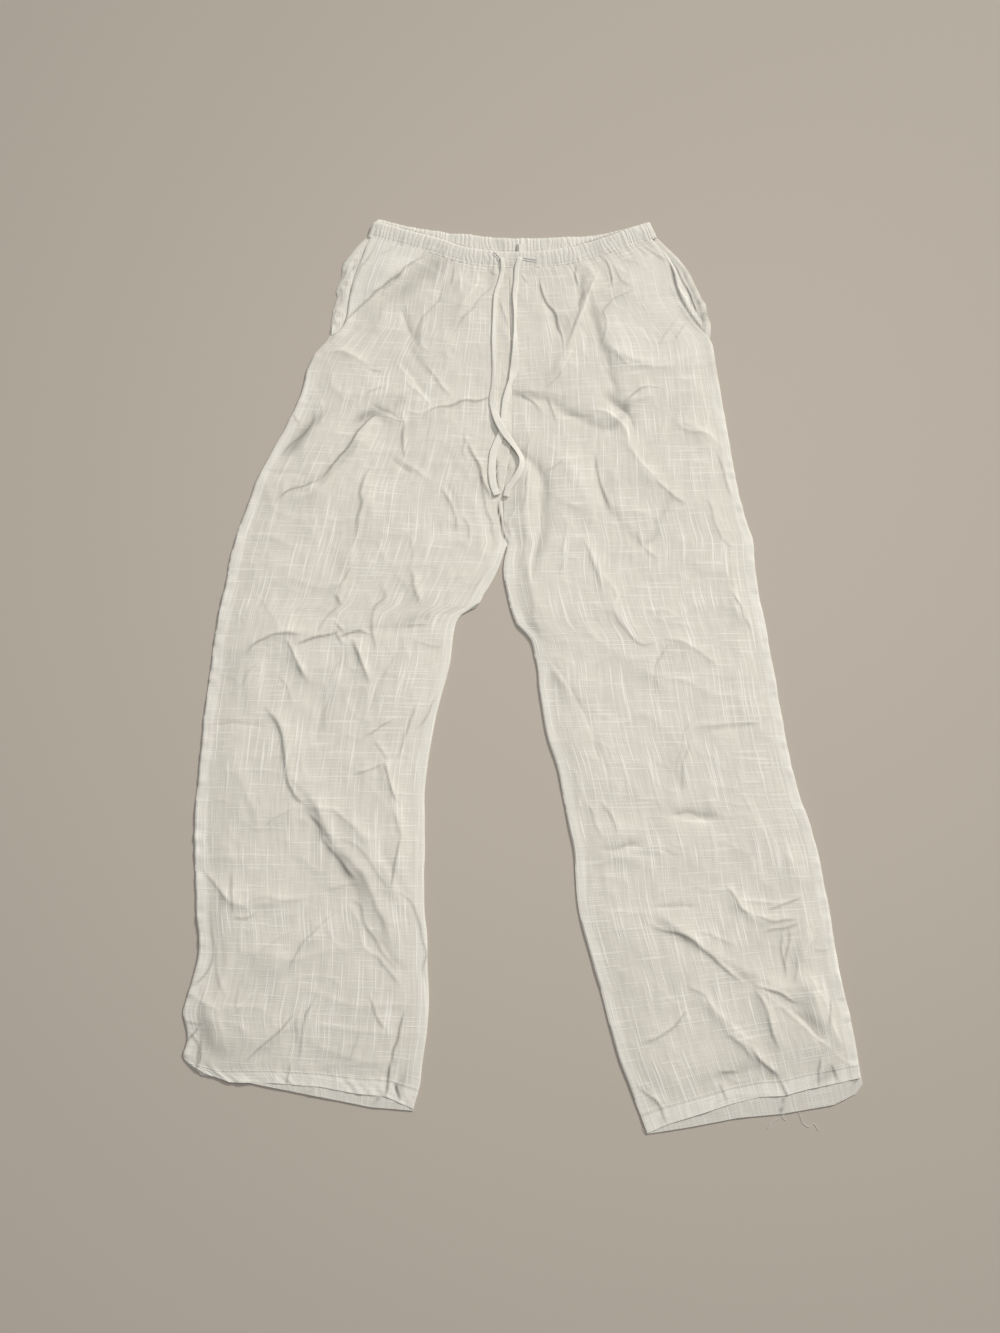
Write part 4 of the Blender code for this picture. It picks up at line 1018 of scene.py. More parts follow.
def sectionGrid(side, hem, hip, foot, columns, rowStep):
    # Rows from the hem to the waist and columns from the outseam to the inner edge
    leg = np.array((hem,) + side["leg"][1:], float)
    body = np.array(side["body"], float)
    if hip:
        body[-len(hip):, :2] = hip
    parts = []
    for table in (leg, body):
        along = lengths(table[:, 2:])
        at = np.linspace(0, along[-1], round(along[-1] / rowStep) + 1)
        parts.append(smoothRows(table, along, at))
    rows = np.concatenate([parts[0], parts[1][1:]])
    rows = rows[: (len(rows) - 1) // 4 * 4 + 1]
    rows[-1] = body[-1]
    crotch = len(parts[0]) - 1
    upLeg = lengths(rows[:, 2:])[:, None]
    t = np.linspace(0, 1, columns + 1)[None, :]
    outerX, outerY, innerX, innerY = rows.T[:, :, None]

    def wander(height, size, number):  # noise along one edge
        return softNoise(height, 0 * height, size, side["seed"] + number)

    # The outline wanders a little, more so at the outseam's puckers.
    sign = 1 if outerX[0, 0] < innerX[0, 0] else -1
    small, large = side["edgeWaves"]
    stray = small * wander(outerY, 13, 20)
    stray += large * wander(outerY, 47, 21)
    if hip:  # the puckered edge beside the pocket's mouth
        stray += legCloth["hipPucker"] * wander(outerY, 8, 24) * smoothstep(370, 395, outerY)
    fadeTop = smoothstep(0, 25, upLeg[-1] - upLeg)
    outerX = outerX + sign * (1.0 + stray) * fadeTop
    nudge = np.array(side["innerNudge"])
    innerX = innerX + np.interp(innerY, nudge[:, 0], nudge[:, 1])
    legOnly = smoothstep(106, 66, innerY) * smoothstep(0, 25, upLeg)
    innerX = innerX - sign * wander(innerY, 31, 22) * legOnly
    x = outerX + (innerX - outerX) * t
    y = outerY + (innerY - outerY) * t
    order = np.argsort(foot[:, 0])
    edge = np.interp(x[-1], foot[order, 0], foot[order, 1])
    pull = smoothstep(legCloth["footReach"], 0, innerY[-1] - innerY)
    y = y + pull * (edge - y[-1])
    width = np.hypot(innerX - outerX, innerY - outerY)
    joined = smoothstep(crotch - 2, crotch + 18, np.arange(len(rows)))[:, None]
    return {
        "x": x, "y": y, "t": t, "width": width, "upLeg": upLeg, "joined": joined,
        "fromOuter": t * width, "fromInner": (1 - t) * width, "below": upLeg[-1] - upLeg,
    }


def bendHem(grid, wave):
    wave = np.array(wave)
    dip = np.interp(grid["t"], wave[:, 0], wave[:, 1])
    grid["y"] = grid["y"] + dip * smoothstep(70, 0, grid["upLeg"])


def grainMap(grid):  # the weave runs up the leg, and 1 on the map is 100 mm
    across = (grid["t"] - 0.5) * grid["width"].mean()
    u = across + 0 * grid["upLeg"]
    v = grid["upLeg"] + 0 * grid["t"]
    return np.stack([u, v], axis=-1) / 100


def edgeRoll(distance, roll):  # a tight roll at the edge, and then a long slope
    share, reach, start, stop = roll
    return share * rolled(distance, reach) + (1 - share) * smoothstep(start, stop, distance)


def frontRelief(grid, side, outerRoll):  # the cloth between its seams, and its painted shade
    cloth = legCloth
    x = grid["x"]
    y = grid["y"]
    inner = grid["fromInner"]
    centre = 1 - cloth["centreDip"] * (1 - rolled(inner, 8))
    innerRoll = grid["joined"] * centre + (1 - grid["joined"]) * edgeRoll(inner, cloth["innerRoll"])
    hemLow = cloth["hemLoft"] + (1 - cloth["hemLoft"]) * smoothstep(0, cloth["hemReach"], grid["upLeg"])
    shape = outerRoll * innerRoll
    swell = cloth["swell"] * np.sin(x / 37 + y / 61) * np.cos(y / 47 - x / 83)
    folds = foldHeights(x, y, side["folds"], cloth["crisp"], 0.35)[0]
    creases, shade = foldHeights(x, y, side["creases"], cloth["creaseCrisp"], 0.25)
    hollows = [(-depth, wide, wide, foldShade, line) for depth, wide, foldShade, line in side["hollows"]]
    hollows, foldShade = foldHeights(x, y, hollows, 0.4, 0.35, True)
    deeper = 1 + cloth["hollowDeeper"] * smoothstep(120, 240, y)
    hollows = hollows * deeper
    # Painted shade of the hollows, darker above the crotch.
    shade += foldShade * deeper
    seed = side["seed"]
    fine = 0.55 * crumple(x, y, 46, seed) + 0.3 * crumple(x, y, 21, seed + 30)
    fine += 0.5 * softNoise(x, y, 34, seed + 50) + 0.16 * softNoise(x, 0.4 * y, 7, seed + 51)
    z = cloth["edgeHigh"] + cloth["loft"] * shape * hemLow
    z += (swell + cloth["foldRise"] * folds + hollows) * shape * (0.4 + 0.6 * hemLow)
    z += (cloth["creaseRise"] * creases + cloth["crumpleRise"] * fine) * (0.25 + 0.75 * shape)
    return z, shade


def frontLeg(name, side, mirrored, material):
    cloth = legCloth
    grid = sectionGrid(side, side["leg"][0], None, frontFoot, cloth["columns"], cloth["rowStep"])
    bendHem(grid, side["hemWave"])
    x = grid["x"]
    y = grid["y"]
    up = grid["upLeg"]
    outer = grid["fromOuter"]
    below = grid["below"]
    seed = side["seed"]
    outerRoll = edgeRoll(outer, cloth["outerRoll"])
    z, shade = frontRelief(grid, side, outerRoll)
    # The gathers start at the casing's foot.
    footAlong = lengths(smoothLine(waist["frontEdge"], 2))
    order = np.argsort(frontFoot[:, 0])
    along = np.interp(x[-1], frontFoot[order, 0], footAlong[order])[None, :]
    z += (seamHigh(x) - z) * smoothstep(24, 1, below)
    z += gatherHeights(along, below, frontGathers) * (0.3 + 0.7 * outerRoll)
    ribs = ruffles(along, waist["depth"] + below, 81)
    z += (ribs - 0.5) * casingCloth["ruffle"] * 0.7 * smoothstep(12, 0, below)
    z -= cloth["waistDip"] * smoothstep(2.5, 0, below)  # the stitched seam at the casing
    shade += cloth["ribShade"] * smoothstep(0.4, 0.05, ribs) * smoothstep(9, 0, below)
    # Pressed seam allowances, the hem's turned-up cloth, and its puckered stitching
    bandEdge = cloth["seamBand"] + 1.2 * softNoise(up, 0 * up, 29, seed + 60)
    band = smoothstep(bandEdge + 0.9, bandEdge - 0.9, outer) * smoothstep(0, 30, below - 150)
    z += cloth["seamRise"] * band
    innerBand = smoothstep(cloth["innerBand"], cloth["innerBand"] - 1.5, grid["fromInner"])
    innerBand = innerBand * (1 - grid["joined"])
    z += 0.6 * cloth["seamRise"] * innerBand
    hem = smoothstep(cloth["hemDepth"] + 0.8, cloth["hemDepth"] - 0.8, up)
    z += cloth["hemRise"] * hem
    stitchDip = np.exp(-(((up - cloth["hemDepth"] + 2) / 1.6) ** 2))
    pucker = softNoise(grid["t"] * grid["width"], up * 0.25, 7, seed + 61)
    z += cloth["hemPucker"] * pucker * smoothstep(40, 12, up) - cloth["stitchDip"] * stitchDip
    shade += cloth["stitchShade"] * stitchDip
    pucker = softNoise(up, outer * 0.3, 9, seed + 62)
    z += cloth["edgePucker"] * pucker * smoothstep(14, 2, outer) * smoothstep(2, 0, hem)
    # The pocket bag lifts the cloth inside its outline.
    if mirrored:
        inside = insideOutline(x, y, side["doubled"], 5)
    else:
        inside = smoothstep(-3, 3, aboveLine(x, y, side["doubled"])) * smoothstep(330, 385, y)
    z += cloth["bagRise"] * inside
    low = crotchHollow["low"]
    high = crotchHollow["high"]
    hollow = np.exp(-(((x - crotchHollow["x"]) / crotchHollow["width"]) ** 2))
    hollow = hollow * smoothstep(low - 12, low + 12, y)
    z -= crotchHollow["depth"] * hollow * smoothstep(high + 18, high - 18, y)
    # The stitched edge at the pocket's mouth
    mouth = smoothstep(372, 400, y)
    z += side["mouthRise"] * (mouth * smoothstep(10, 1, outer) * smoothstep(2, 14, below))
    shade += side["mouthShade"] * mouth * smoothstep(2.4, 0.4, outer) * smoothstep(4, 16, below)
    overBag = smoothstep(320, 345, y) * smoothstep(88, 100, np.abs(x))
    z = np.maximum(z, cloth["topLeast"] + cloth["topOverBag"] * overBag)
    layers = np.maximum(np.maximum(band, hem), np.maximum(0.8 * innerBand, side["bagShown"] * inside))
    made = legShell(
        name, x, y, z, cloth["thickness"], material, grainMap(grid), layers, shade, mirrored
    )
    return made, grid


def backLeg(name, side, mirrored, material):
    cloth = legCloth
    columns = cloth["backColumns"]
    grid = sectionGrid(side, side["backHem"], side["backHip"], backFoot, columns, cloth["backRowStep"])
    bendHem(grid, side["backHemWave"])
    x = grid["x"]
    y = grid["y"]
    up = grid["upLeg"]
    outer = grid["fromOuter"]
    seed = side["seed"]
    shape = smoothstep(2, 24, outer)
    inner = smoothstep(2, 24, grid["fromInner"])
    shape = shape * (grid["joined"] + (1 - grid["joined"]) * inner)
    folds = foldHeights(x, y, side["backFolds"], cloth["crisp"], 0.35)[0]
    fine = crumple(x, y, 41, seed + 70) + 0.6 * softNoise(x, y, 30, seed + 71)
    low = np.clip(0.35 + folds + 0.45 * fine, 0, cloth["backRise"]) * shape
    # The seen strips, at the hem and inside the pocket mouth, are creased as well.
    hem = smoothstep(cloth["hemDepth"] + 1, cloth["hemDepth"] - 1, up) + 0 * low
    creased = softNoise(grid["t"] * grid["width"], up, 11, seed + 72)
    top = low + cloth["thickness"] + cloth["hemRise"] * hem
    top += 0.35 * np.abs(creased) * smoothstep(45, 15, up)
    puckered = smoothstep(372, 395, y) * smoothstep(2, 20, grid["below"]) * smoothstep(12, 8, outer)
    pucker = np.abs(softNoise(y, 0.5 * x, 9, seed + 73))
    least, more = cloth["stripRise"]
    top += (least + more * pucker) * puckered * rolled(outer, 4)
    # Painted shade between the strip's puckers and towards the bag's edge, and on the back hem's strip,
    # which lies in the front hem's shade.
    shade = (0.12 * smoothstep(0.25, 0, pucker) + 0.1 * smoothstep(6, 9, outer)) * puckered + 0.07 * hem
    # The creases below bring their painted shade as well.
    creases, foldShade = foldHeights(x, y, side["backCreases"], cloth["creaseCrisp"], 0.25)
    top += creases - np.minimum(creases, 0) * 0.5
    shade += foldShade
    band = smoothstep(13.5, 11.5, outer) * smoothstep(150, 180, grid["below"])
    layers = np.maximum(hem, band + 0 * low)
    return shell(name, x, y, top, low, material, grainMap(grid), layers, shade, mirrored)


# The casings: a tube of gathered cloth round the elastic

casingCloth = {
    "step": 0.62,
    "underRows": 10,
    "overRows": 43,
    "thickness": 0.45,
    "high": 2.7,
    "footHigh": 1.3,
    "edgeHigh": 1.2,  # of the upper face at the fold, and of the lower one
    "edgeLow": 1.15,
    "foldReach": 4.5,
    "seamDrop": 1.4,
    "ruffle": 1.05,
    "spacing": 5.4,
    "fullness": 1.4,  # how much longer the cloth is than the gathered casing
    "wave": 0.35,
    "edgeRipple": 0.9,
    "edgeWave": 0.7,
    "stitchDepth": 19.2,
    "stitchDip": 0.3,
    "frontLow": 3.7,  # the front casing's edge lies on the back one, and its foot on the legs
    "roundEnd": 4.5,  # the corner at its right end, in x and y
    "endReach": 8,
    "sideReach": 6,
    "frontSide": (2.9, 2.0),  # the faces' heights at the sides
    "backSide": 1.9,
    "pastDrop": (1.1, 1.7),  # how much lower they are past the back casing's right end
    "gatherShade": 0.07,
    "backShade": 0.3,  # of the back casing, along the front one's edge
    "slitShade": 0.15,
}


def ruffles(along, depth, seed):
    drift = 3.4 * softNoise(along, 0.45 * depth, 13, seed) + 1.1 * softNoise(along, depth, 6, seed + 1)
    ridge = np.abs(np.sin(math.pi * (along + drift) / casingCloth["spacing"])) ** 0.75
    small = np.abs(np.sin(math.pi * (along - drift) / (0.47 * casingCloth["spacing"])))
    high = 0.55 + 0.45 * softNoise(along, 0.3 * depth, 8, seed + 2)
    return ridge * high + 0.1 * small


def casing(name, edge, front, material):
    cloth = casingCloth
    seed = 81 if front else 91
    line = smoothLine(edge, cloth["step"])
    along = lengths(line)[:, None]
    normals = lineNormals(line)
    under = np.linspace(waist["depth"], 1.5, cloth["underRows"])
    over = np.linspace(1.5, waist["depth"] + 1.2, cloth["overRows"])
    depth = np.r_[under, 0.35, 0, 0.35, over][None, :]
    onTop = (np.arange(depth.size) > len(under))[None, :]
    rounded = cloth["roundEnd"] * (1 - rolled(along, cloth["endReach"])) * smoothstep(13, 0, depth)
    x = line[:, :1] + normals[:, :1] * (depth + rounded)
    y = line[:, 1:] + normals[:, 1:] * (depth + rounded)
    if front:
        foot = seamHigh(x) - cloth["footHigh"]
        low = cloth["frontLow"] + (foot - cloth["frontLow"]) * smoothstep(2, waist["depth"] + 2, depth)
    else:
        low = 0 * x
    bend = rolled(depth, cloth["foldReach"])
    foot = smoothstep(4, waist["depth"] + 1, depth)
    top = low + cloth["edgeHigh"] + (cloth["high"] - cloth["edgeHigh"]) * bend
    top = top - (cloth["high"] - cloth["footHigh"]) * foot
    gathered = ruffles(along, depth, seed)
    stitch = np.exp(-(((depth - cloth["stitchDepth"]) / 1.1) ** 2))
    top += (gathered - 0.5) * cloth["ruffle"] * (0.35 + 0.65 * bend) - cloth["stitchDip"] * stitch
    top -= cloth["seamDrop"] * smoothstep(waist["depth"] - 0.6, waist["depth"] + 1.2, depth)
    top += cloth["wave"] * softNoise(along, depth, 16, seed + 5)
    bottom = low + cloth["edgeLow"] * (1 - bend) + 0.2 * gathered * bend
    # At each side the two casings are one tube that is folded flat.
    fromSide = np.minimum(along, along[-1] - along)
    side = 1 - rolled(fromSide, cloth["sideReach"])
    if front:
        topSide, bottomSide = cloth["frontSide"]
        topDrop, bottomDrop = cloth["pastDrop"]
        past = 1 - rolled(along, cloth["sideReach"])  # its right end reaches down to the floor
        top = top - (top - topSide) * side - topDrop * past
        bottom = bottom - (bottom - bottomSide) * side - bottomDrop * past
    else:
        top = top - (top - cloth["backSide"]) * side
    z = np.maximum(np.where(onTop, top, bottom), 0.1)
    wave = cloth["edgeWave"] * softNoise(along, 0 * depth, 24, seed + 6)
    edgeShift = (cloth["edgeRipple"] * (gathered - 0.4) + wave) * smoothstep(4, 0, depth)
    x = x - normals[:, :1] * edgeShift
    y = y - normals[:, 1:] * edgeShift
    u = along * cloth["fullness"] + 0 * depth
    v = np.where(onTop, depth, -depth) + 0 * along
    # Painted shade between two gathers, in the slits, and on the back casing along the front one's edge,
    # which shades it.
    shade = cloth["gatherShade"] * smoothstep(0.4, 0.05, gathered) * onTop * smoothstep(0, 5, depth)
    if front:
        for hole in waist["holes"]:
            shade += cloth["slitShade"] * onEdge(x, y, hole, 0.9) * onTop
    else:
        shade += cloth["backShade"] * onEdge(x, y, waist["frontEdge"], 1.9) * smoothstep(3, 22, fromSide)
    outer = np.stack([x, y, z], axis=-1)
    uv = np.stack([u, v], axis=-1) / 100
    return foldedShell(name, outer, cloth["thickness"], material, uv, 0.75 + 0 * z, shade, False)


# The pocket bags, of which the strips inside the two mouths show

pocket = {
    "thickness": 0.5,
    "high": 1.45,
    "step": 2.4,
    "columns": 56,
    "ripple": 0.9,
    "lowest": 1.15,
    "uncovered": (512, 490),  # up the bag, from where the casing covers it to where it is free
    "right": {
        "sections": (
            (-232, 375, -225, 379), (-229, 400, -208, 402), (-224, 426, -184, 428),
            (-219, 450, -160, 452), (-212, 474, -140, 472), (-201, 494, -150, 485),
            (-190, 511, -158, 500),
        ),
        "mouth": ((-236, 369), (-220, 388), (-209, 446), (-199, 474), (-187, 504)),
        "rise": 0.8,
        "dark": 0.02,
        "seed": 140,
    },
    "left": {
        "sections": (
            (176, 336, 142, 336), (205, 346, 120, 348), (222, 362, 104, 368), (230, 386, 100, 394),
            (224, 412, 104, 416), (215, 440, 112, 434), (204, 468, 126, 450), (189, 492, 140, 470),
            (179, 503, 152, 486),
        ),
        "mouth": ((238, 374), (215, 404), (196, 440), (189, 474), (168, 504)),
        "rise": 0.1,
        "dark": 0.29,
        "seed": 150,
    },
    "strips": (
        (2.0, 3, 4, -0.06, ((214, 419), (207, 434), (199, 449), (196, 466), (184, 492))),
        (-1.0, 2, 2, 0.3, ((225, 400), (215, 434), (206, 458), (196, 480), (182, 501))),
        (1.2, 3, 3, 0.10, ((-224, 404), (-217, 440), (-208, 470), (-196, 496))),
    ),
}


def pocketBag(name, bag, mirrored, material):
    seed = bag["seed"]
    rows = np.array(bag["sections"], float)
    along = lengths((rows[:, :2] + rows[:, 2:]) / 2)
    rows = smoothRows(rows, along, np.linspace(0, along[-1], round(along[-1] / pocket["step"]) + 1))
    t = np.linspace(0, 1, pocket["columns"] + 1)[None, :]
    x = rows[:, :1] + (rows[:, 2:3] - rows[:, :1]) * t
    y = rows[:, 1:2] + (rows[:, 3:4] - rows[:, 1:2]) * t
    line = smoothLine(bag["mouth"], 4)
    edge = np.interp(y, line[:, 1], line[:, 0])
    outward = (x - edge) if mirrored else (edge - x)
    beyond = smoothstep(-1, 6, outward)
    strips, shade = foldHeights(x, y, pocket["strips"], 0.15, 0.2)
    z = pocket["high"] + beyond * strips + beyond * bag["rise"]
    # Painted shade just inside the mouth, where the front's edge shades the bag; 0.87 turns the run in x
    # into the distance from its edge.
    shade = beyond * shade + bag["dark"] * np.exp(-(((0.87 * outward - 2.4) / 1.9) ** 2))
    ripple = pocket["ripple"] * smoothstep(*pocket["uncovered"], y)
    z += beyond * ripple * (softNoise(y, x, 8, seed) + 0.5 * softNoise(y, x, 3.5, seed + 1))
    z = np.maximum(z, pocket["lowest"])
    uv = np.stack([x, y], axis=-1) / 100
    return shell(name, x, y, z, z - pocket["thickness"], material, uv, 0.6 + 0 * x, shade, mirrored)


labelTape = {
    "width": 12.5,
    "near": 492.5,
    "far": 504.0,
    "x": 2.6,
    "middle": 499,  # the place that it is turned about
    "low": 3.4,
    "gap": 0.5,
    "bendRadius": 0.6,
    "curl": 0.5,
    "thickness": 0.22,
    "turn": 3.0,  # degrees
    "band": 3.4,  # a painted shadow across its left end, for the shade under that lifted edge
    "leftEndShadow": 0.22,
}


def foldedLabel(name, material):
    tape = labelTape
    radius = tape["bendRadius"]
    lower = np.linspace(tape["far"], tape["near"] + radius, 9)
    bend = np.radians(np.linspace(-60, 60, 5))
    place = np.r_[lower, tape["near"] + radius - radius * np.cos(bend), lower[::-1]][:, None]
    middle = tape["low"] + tape["gap"] / 2
    fold = middle + np.sin(bend) * radius * tape["gap"]
    height = np.r_[0 * lower + tape["low"], fold, 0 * lower + tape["low"] + tape["gap"]][:, None]
    across = np.linspace(-0.5, 0.5, 21)[None, :] * tape["width"]
    curl = tape["curl"] * (2 * across / tape["width"]) ** 2 * smoothstep(tape["far"], tape["near"], place)
    z = height + curl + 0.18 * softNoise(across, place, 4, 120) + 0 * across
    angle = math.radians(tape["turn"])
    y = place - tape["middle"] + 0 * across
    x = across + 0 * place
    outer = np.stack([
        tape["x"] + x * math.cos(angle) - y * math.sin(angle),
        tape["middle"] + x * math.sin(angle) + y * math.cos(angle), z,
    ], axis=-1)
    alongTape = np.cumsum(np.r_[0, np.abs(np.diff(place[:, 0]))])[:, None]
    uv = np.stack([x, alongTape + 0 * x], axis=-1) / 100
    # Painted shadow across the label's left end
    shade = smoothstep(tape["band"], tape["band"] - 1, across + tape["width"] / 2)
    shade = tape["leftEndShadow"] * shade + 0 * z
    return foldedShell(name, outer, tape["thickness"], material, uv, 0.8 + 0 * z, shade, True)


# The drawstring's two ends: flat tapes from their buttonholes down, as (place, width, roll) along them

drawstring = {
    "thickness": 1.25,
    "step": 2.0,
    "sides": 14,
    "lift": 0.25,
    "widthWave": 0.5,
    "faceRipple": 0.16,
    "pathPoints": 38,
    "rightRoute": (
        (-22, 482), (-21, 470), (-24, 452), (-29, 434), (-31, 409), (-32, 383), (-32, 356), (-31, 330),
        (-32, 309), (-34, 293), (-32, 277), (-27, 260), (-19, 245), (-10, 233), (-3, 222), (1, 212),
        (1, 202), (-3, 192), (-9, 183), (-15, 174), (-18, 164),
    ),
    "leftRoute": (
        (1, 483), (-3, 470), (-4, 452), (-6, 433), (-6, 410), (-6, 388), (-6, 368), (-6, 350),
        (-7, 333), (-10, 318), (-14, 306), (-17, 292), (-19, 277), (-20, 262), (-22, 248), (-27, 235),
        (-32, 221), (-34, 206), (-34, 190), (-32, 177), (-28, 166),
    ),
    "rightShape": (
        (0, 5.5, 10), (20, 6, 5), (90, 5.5, 12), (150, 6, -8), (185, 7.5, -14), (215, 9, 6), (240, 9.5, 4),
        (270, 6.5, 25), (300, 8, 8), (336, 7, 0),
    ),
    "leftShape": (
        (0, 7, 0), (50, 6.5, 8), (75, 4.6, 34), (105, 4.6, 30), (135, 9.5, 4), (155, 10.5, 0),
        (172, 6.5, 32), (195, 8, 10), (250, 9, 6), (290, 9.5, 4), (322, 8, 6),
    ),
}


def surfaceOf(pieces):
    points = []
    faces = []
    for piece in pieces:
        start = len(points)
        points += [vertex.co.copy() for vertex in piece.data.vertices]
        faces += [[start + k for k in polygon.vertices] for polygon in piece.data.polygons]
    return BVHTree.FromPolygons(points, faces)


def heightOn(tree, x, y):
    hit = tree.ray_cast(Vector((x * mm, y * mm, 0.1)), Vector((0, 0, -1)))[0]
    return hit.z / mm if hit else 0.0


def tape(name, route, shape, below, material):
    look = drawstring
    tree = surfaceOf(below)
    centre = smoothLine(route, look["step"])
    along = lengths(centre)
    shape = np.array(shape, float)
    share = along / along[-1] * shape[-1, 0]
    width = np.interp(share, shape[:, 0], shape[:, 1])
    width += look["widthWave"] * softNoise(along, 0 * along, 14, 130)
    roll = np.radians(np.interp(share, shape[:, 0], shape[:, 2]))
    normals = lineNormals(centre)
    # It lies on the highest cloth under its width, and its height changes more softly than the cloth's.
    needed = np.empty(len(centre))
    for k, ((x, y), (nx, ny)) in enumerate(zip(centre, normals)):
        reach = width[k] / 2
        across = [reach * a for a in (-1, -0.6, -0.2, 0.2, 0.6, 1)]
        ground = max(heightOn(tree, x + nx * a, y + ny * a) for a in across)
        needed[k] = ground + look["lift"] + look["thickness"] / 2 + abs(math.sin(roll[k])) * reach * 0.8
    high = np.max(windows(needed, 3), axis=0)
    high = np.maximum(np.mean(windows(high, 4), axis=0), needed)
    # A section is a flat oval with full edges.
    angles = np.linspace(0, 2 * math.pi, look["sides"], endpoint=False)
    across = np.sign(np.cos(angles)) * np.abs(np.cos(angles)) ** 0.45
    upward = np.sign(np.sin(angles)) * np.abs(np.sin(angles)) ** 0.7
    lift = upward * look["thickness"] / 2
    ripple = look["faceRipple"] * softNoise(along, 0 * along, 5, 131)
    rings = []
    for k in range(len(centre)):
        side = across * (width[k] / 2)
        turned = side * math.cos(roll[k]) - lift * math.sin(roll[k])
        rise = side * math.sin(roll[k]) + lift * math.cos(roll[k]) + ripple[k] * np.abs(across)
        px = centre[k, 0] + normals[k, 0] * turned
        py = centre[k, 1] + normals[k, 1] * turned
        rings.append(np.stack([px, py, high[k] + rise], axis=-1))
    rings = np.array(rings)
    count, sides = rings.shape[:2]
    points = np.concatenate([rings.reshape(-1, 3), [[*centre[0], high[0]], [*centre[-1], high[-1]]]])
    number = np.arange(count * sides).reshape(count, sides)
    nextSide = np.roll(number, -1, axis=1)
    faces = np.stack([number[:-1], nextSide[:-1], nextSide[1:], number[1:]], axis=-1)
    faces = faces.reshape(-1, 4).tolist()
    first = count * sides
    faces += [[first, b, a] for a, b in zip(number[0], nextSide[0])]
    faces += [[first + 1, a, b] for a, b in zip(number[-1], nextSide[-1])]
    u = np.broadcast_to(angles / (2 * math.pi) * 18, (count, sides))
    v = np.broadcast_to(along[:, None], (count, sides))
    uv = np.concatenate([np.stack([u, v], axis=-1).reshape(-1, 2), [[0, 0], [0, along[-1]]]]) / 100
    made = linkMesh(name, points, faces, material, uv, np.full(len(points), 0.8))
    step = np.linspace(0, len(centre) - 1, look["pathPoints"]).round().astype(int)
    path = [(centre[k, 0] * mm, centre[k, 1] * mm, high[k] * mm) for k in step]
    return made, path


# Sewing

sewing = {
    "length": 2.9,
    "gap": 1.3,
    "radius": 0.27,
    "lift": 0.04,
    "swell": ((-0.5, 0.25), (-0.36, 0.8), (-0.12, 1), (0.12, 1), (0.36, 0.8), (0.5, 0.25)),
    "inset": 5.5,  # from the pocket mouths to their topstitching
    "mouthFoot": 384,
    "patch": ((2, 471), (23, 469), (24, 488), (1, 490), (2, 471)),
    "looseEnds": (
        ((140, -530), (136, -536), (131, -533), (127, -537), (124, -534)),
        ((277, -514), (274, -521), (268, -525), (260, -529), (256, -535)),
        ((275, -516), (272, -522), (276, -527)),
        ((288, -513), (292, -523), (294, -529), (300, -533), (305, -530), (310, -537)),
    ),
    "looseRadius": 0.2,
    "looseHigh": (0.9, 0.3),
    "slitTurn": ((0.5, 0.1), (1.1, 0.28), (1.8, 0.28), (2.4, 0.1)),  # from the slit, over the cloth
    "slitStep": 0.7,
    "slitRadius": 0.36,
    "colour": (0.80, 0.785, 0.74),
}


def threadLinen(name):
    material, shader = newMaterial(name, {"Roughness": 0.7, "Sheen Weight": 0.15})
    tree = material.node_tree
    spot = addNode(tree, "ShaderNodeTexCoord", {}).outputs["Object"]
    wound = addNode(
        tree, "ShaderNodeTexWave", {"Scale": 900, "Vector": spot},
        wave_type="BANDS", bands_direction="DIAGONAL",
    )
    dark = tuple(0.86 * c for c in sewing["colour"])
    colour = mixColours(tree, wound.outputs["Fac"], dark, sewing["colour"])
    tree.links.new(colour, shader.inputs["Base Color"])
    return material


def roundThread(points, faces, line, radii, run):
    # A thin thread of six sides through points that have their heights, closed at both ends
    start = len(points)
    for (x, y, z), radius, (dx, dy) in zip(line, radii, run):
        for angle in np.linspace(0, 2 * math.pi, 6, endpoint=False):
            side = radius * math.cos(angle)
            points.append((x - dy * side, y + dx * side, z + radius * math.sin(angle)))
    last = start + 6 * (len(line) - 1)
    for ring in range(start, last, 6):
        for j in range(6):
            a = ring + j
            b = ring + (j + 1) % 6
            faces.append([a, a + 6, b + 6, b])
    faces.append([start + j for j in range(6)])
    faces.append([last + 5 - j for j in range(6)])


def evenThread(points, faces, line, radius):
    line = np.asarray(line, float)
    run = np.gradient(line[:, :2], axis=0)
    run /= np.hypot(run[:, 0], run[:, 1])[:, None]
    roundThread(points, faces, line, [radius] * len(line), run)


def stitchRow(name, lines, below, material, looseEnds=()):
    # Each stitch is a short round thread that thins at both ends.
    tree = surfaceOf(below)
    points = []
    faces = []
    for end in looseEnds:
        spots = smoothLine(end, 1)
        fall = np.linspace(*sewing["looseHigh"], len(spots))
        evenThread(points, faces, np.c_[spots, fall], sewing["looseRadius"])
    radii = [sewing["radius"] * size for station, size in sewing["swell"]]
    for line in lines:
        line = smoothLine(line, 1)
        along = lengths(line)
        run = np.gradient(line, axis=0)
        run /= np.hypot(run[:, 0], run[:, 1])[:, None]
        pitch = sewing["length"] + sewing["gap"]
        for middle in np.arange(pitch / 2, along[-1], pitch):
            x, y, dx, dy = [np.interp(middle, along, c) for c in (*line.T, *run.T)]
            reaches = [station * sewing["length"] for station, size in sewing["swell"]]
            spots = [(x + dx * reach, y + dy * reach) for reach in reaches]
            highs = [heightOn(tree, px, py) for px, py in spots]
            if min(highs) == 0:  # past the cloth's edge
                continue
            stitch = [(px, py, high + sewing["lift"]) for (px, py), high in zip(spots, highs)]
            roundThread(points, faces, stitch, radii, [(dx, dy)] * len(stitch))
    return linkMesh(name, points, faces, material)


def hemLine(grid):
    row = int(np.searchsorted(grid["upLeg"][:, 0], legCloth["hemDepth"] - 2))
    return np.c_[grid["x"][row], grid["y"][row]][2:-1:5]


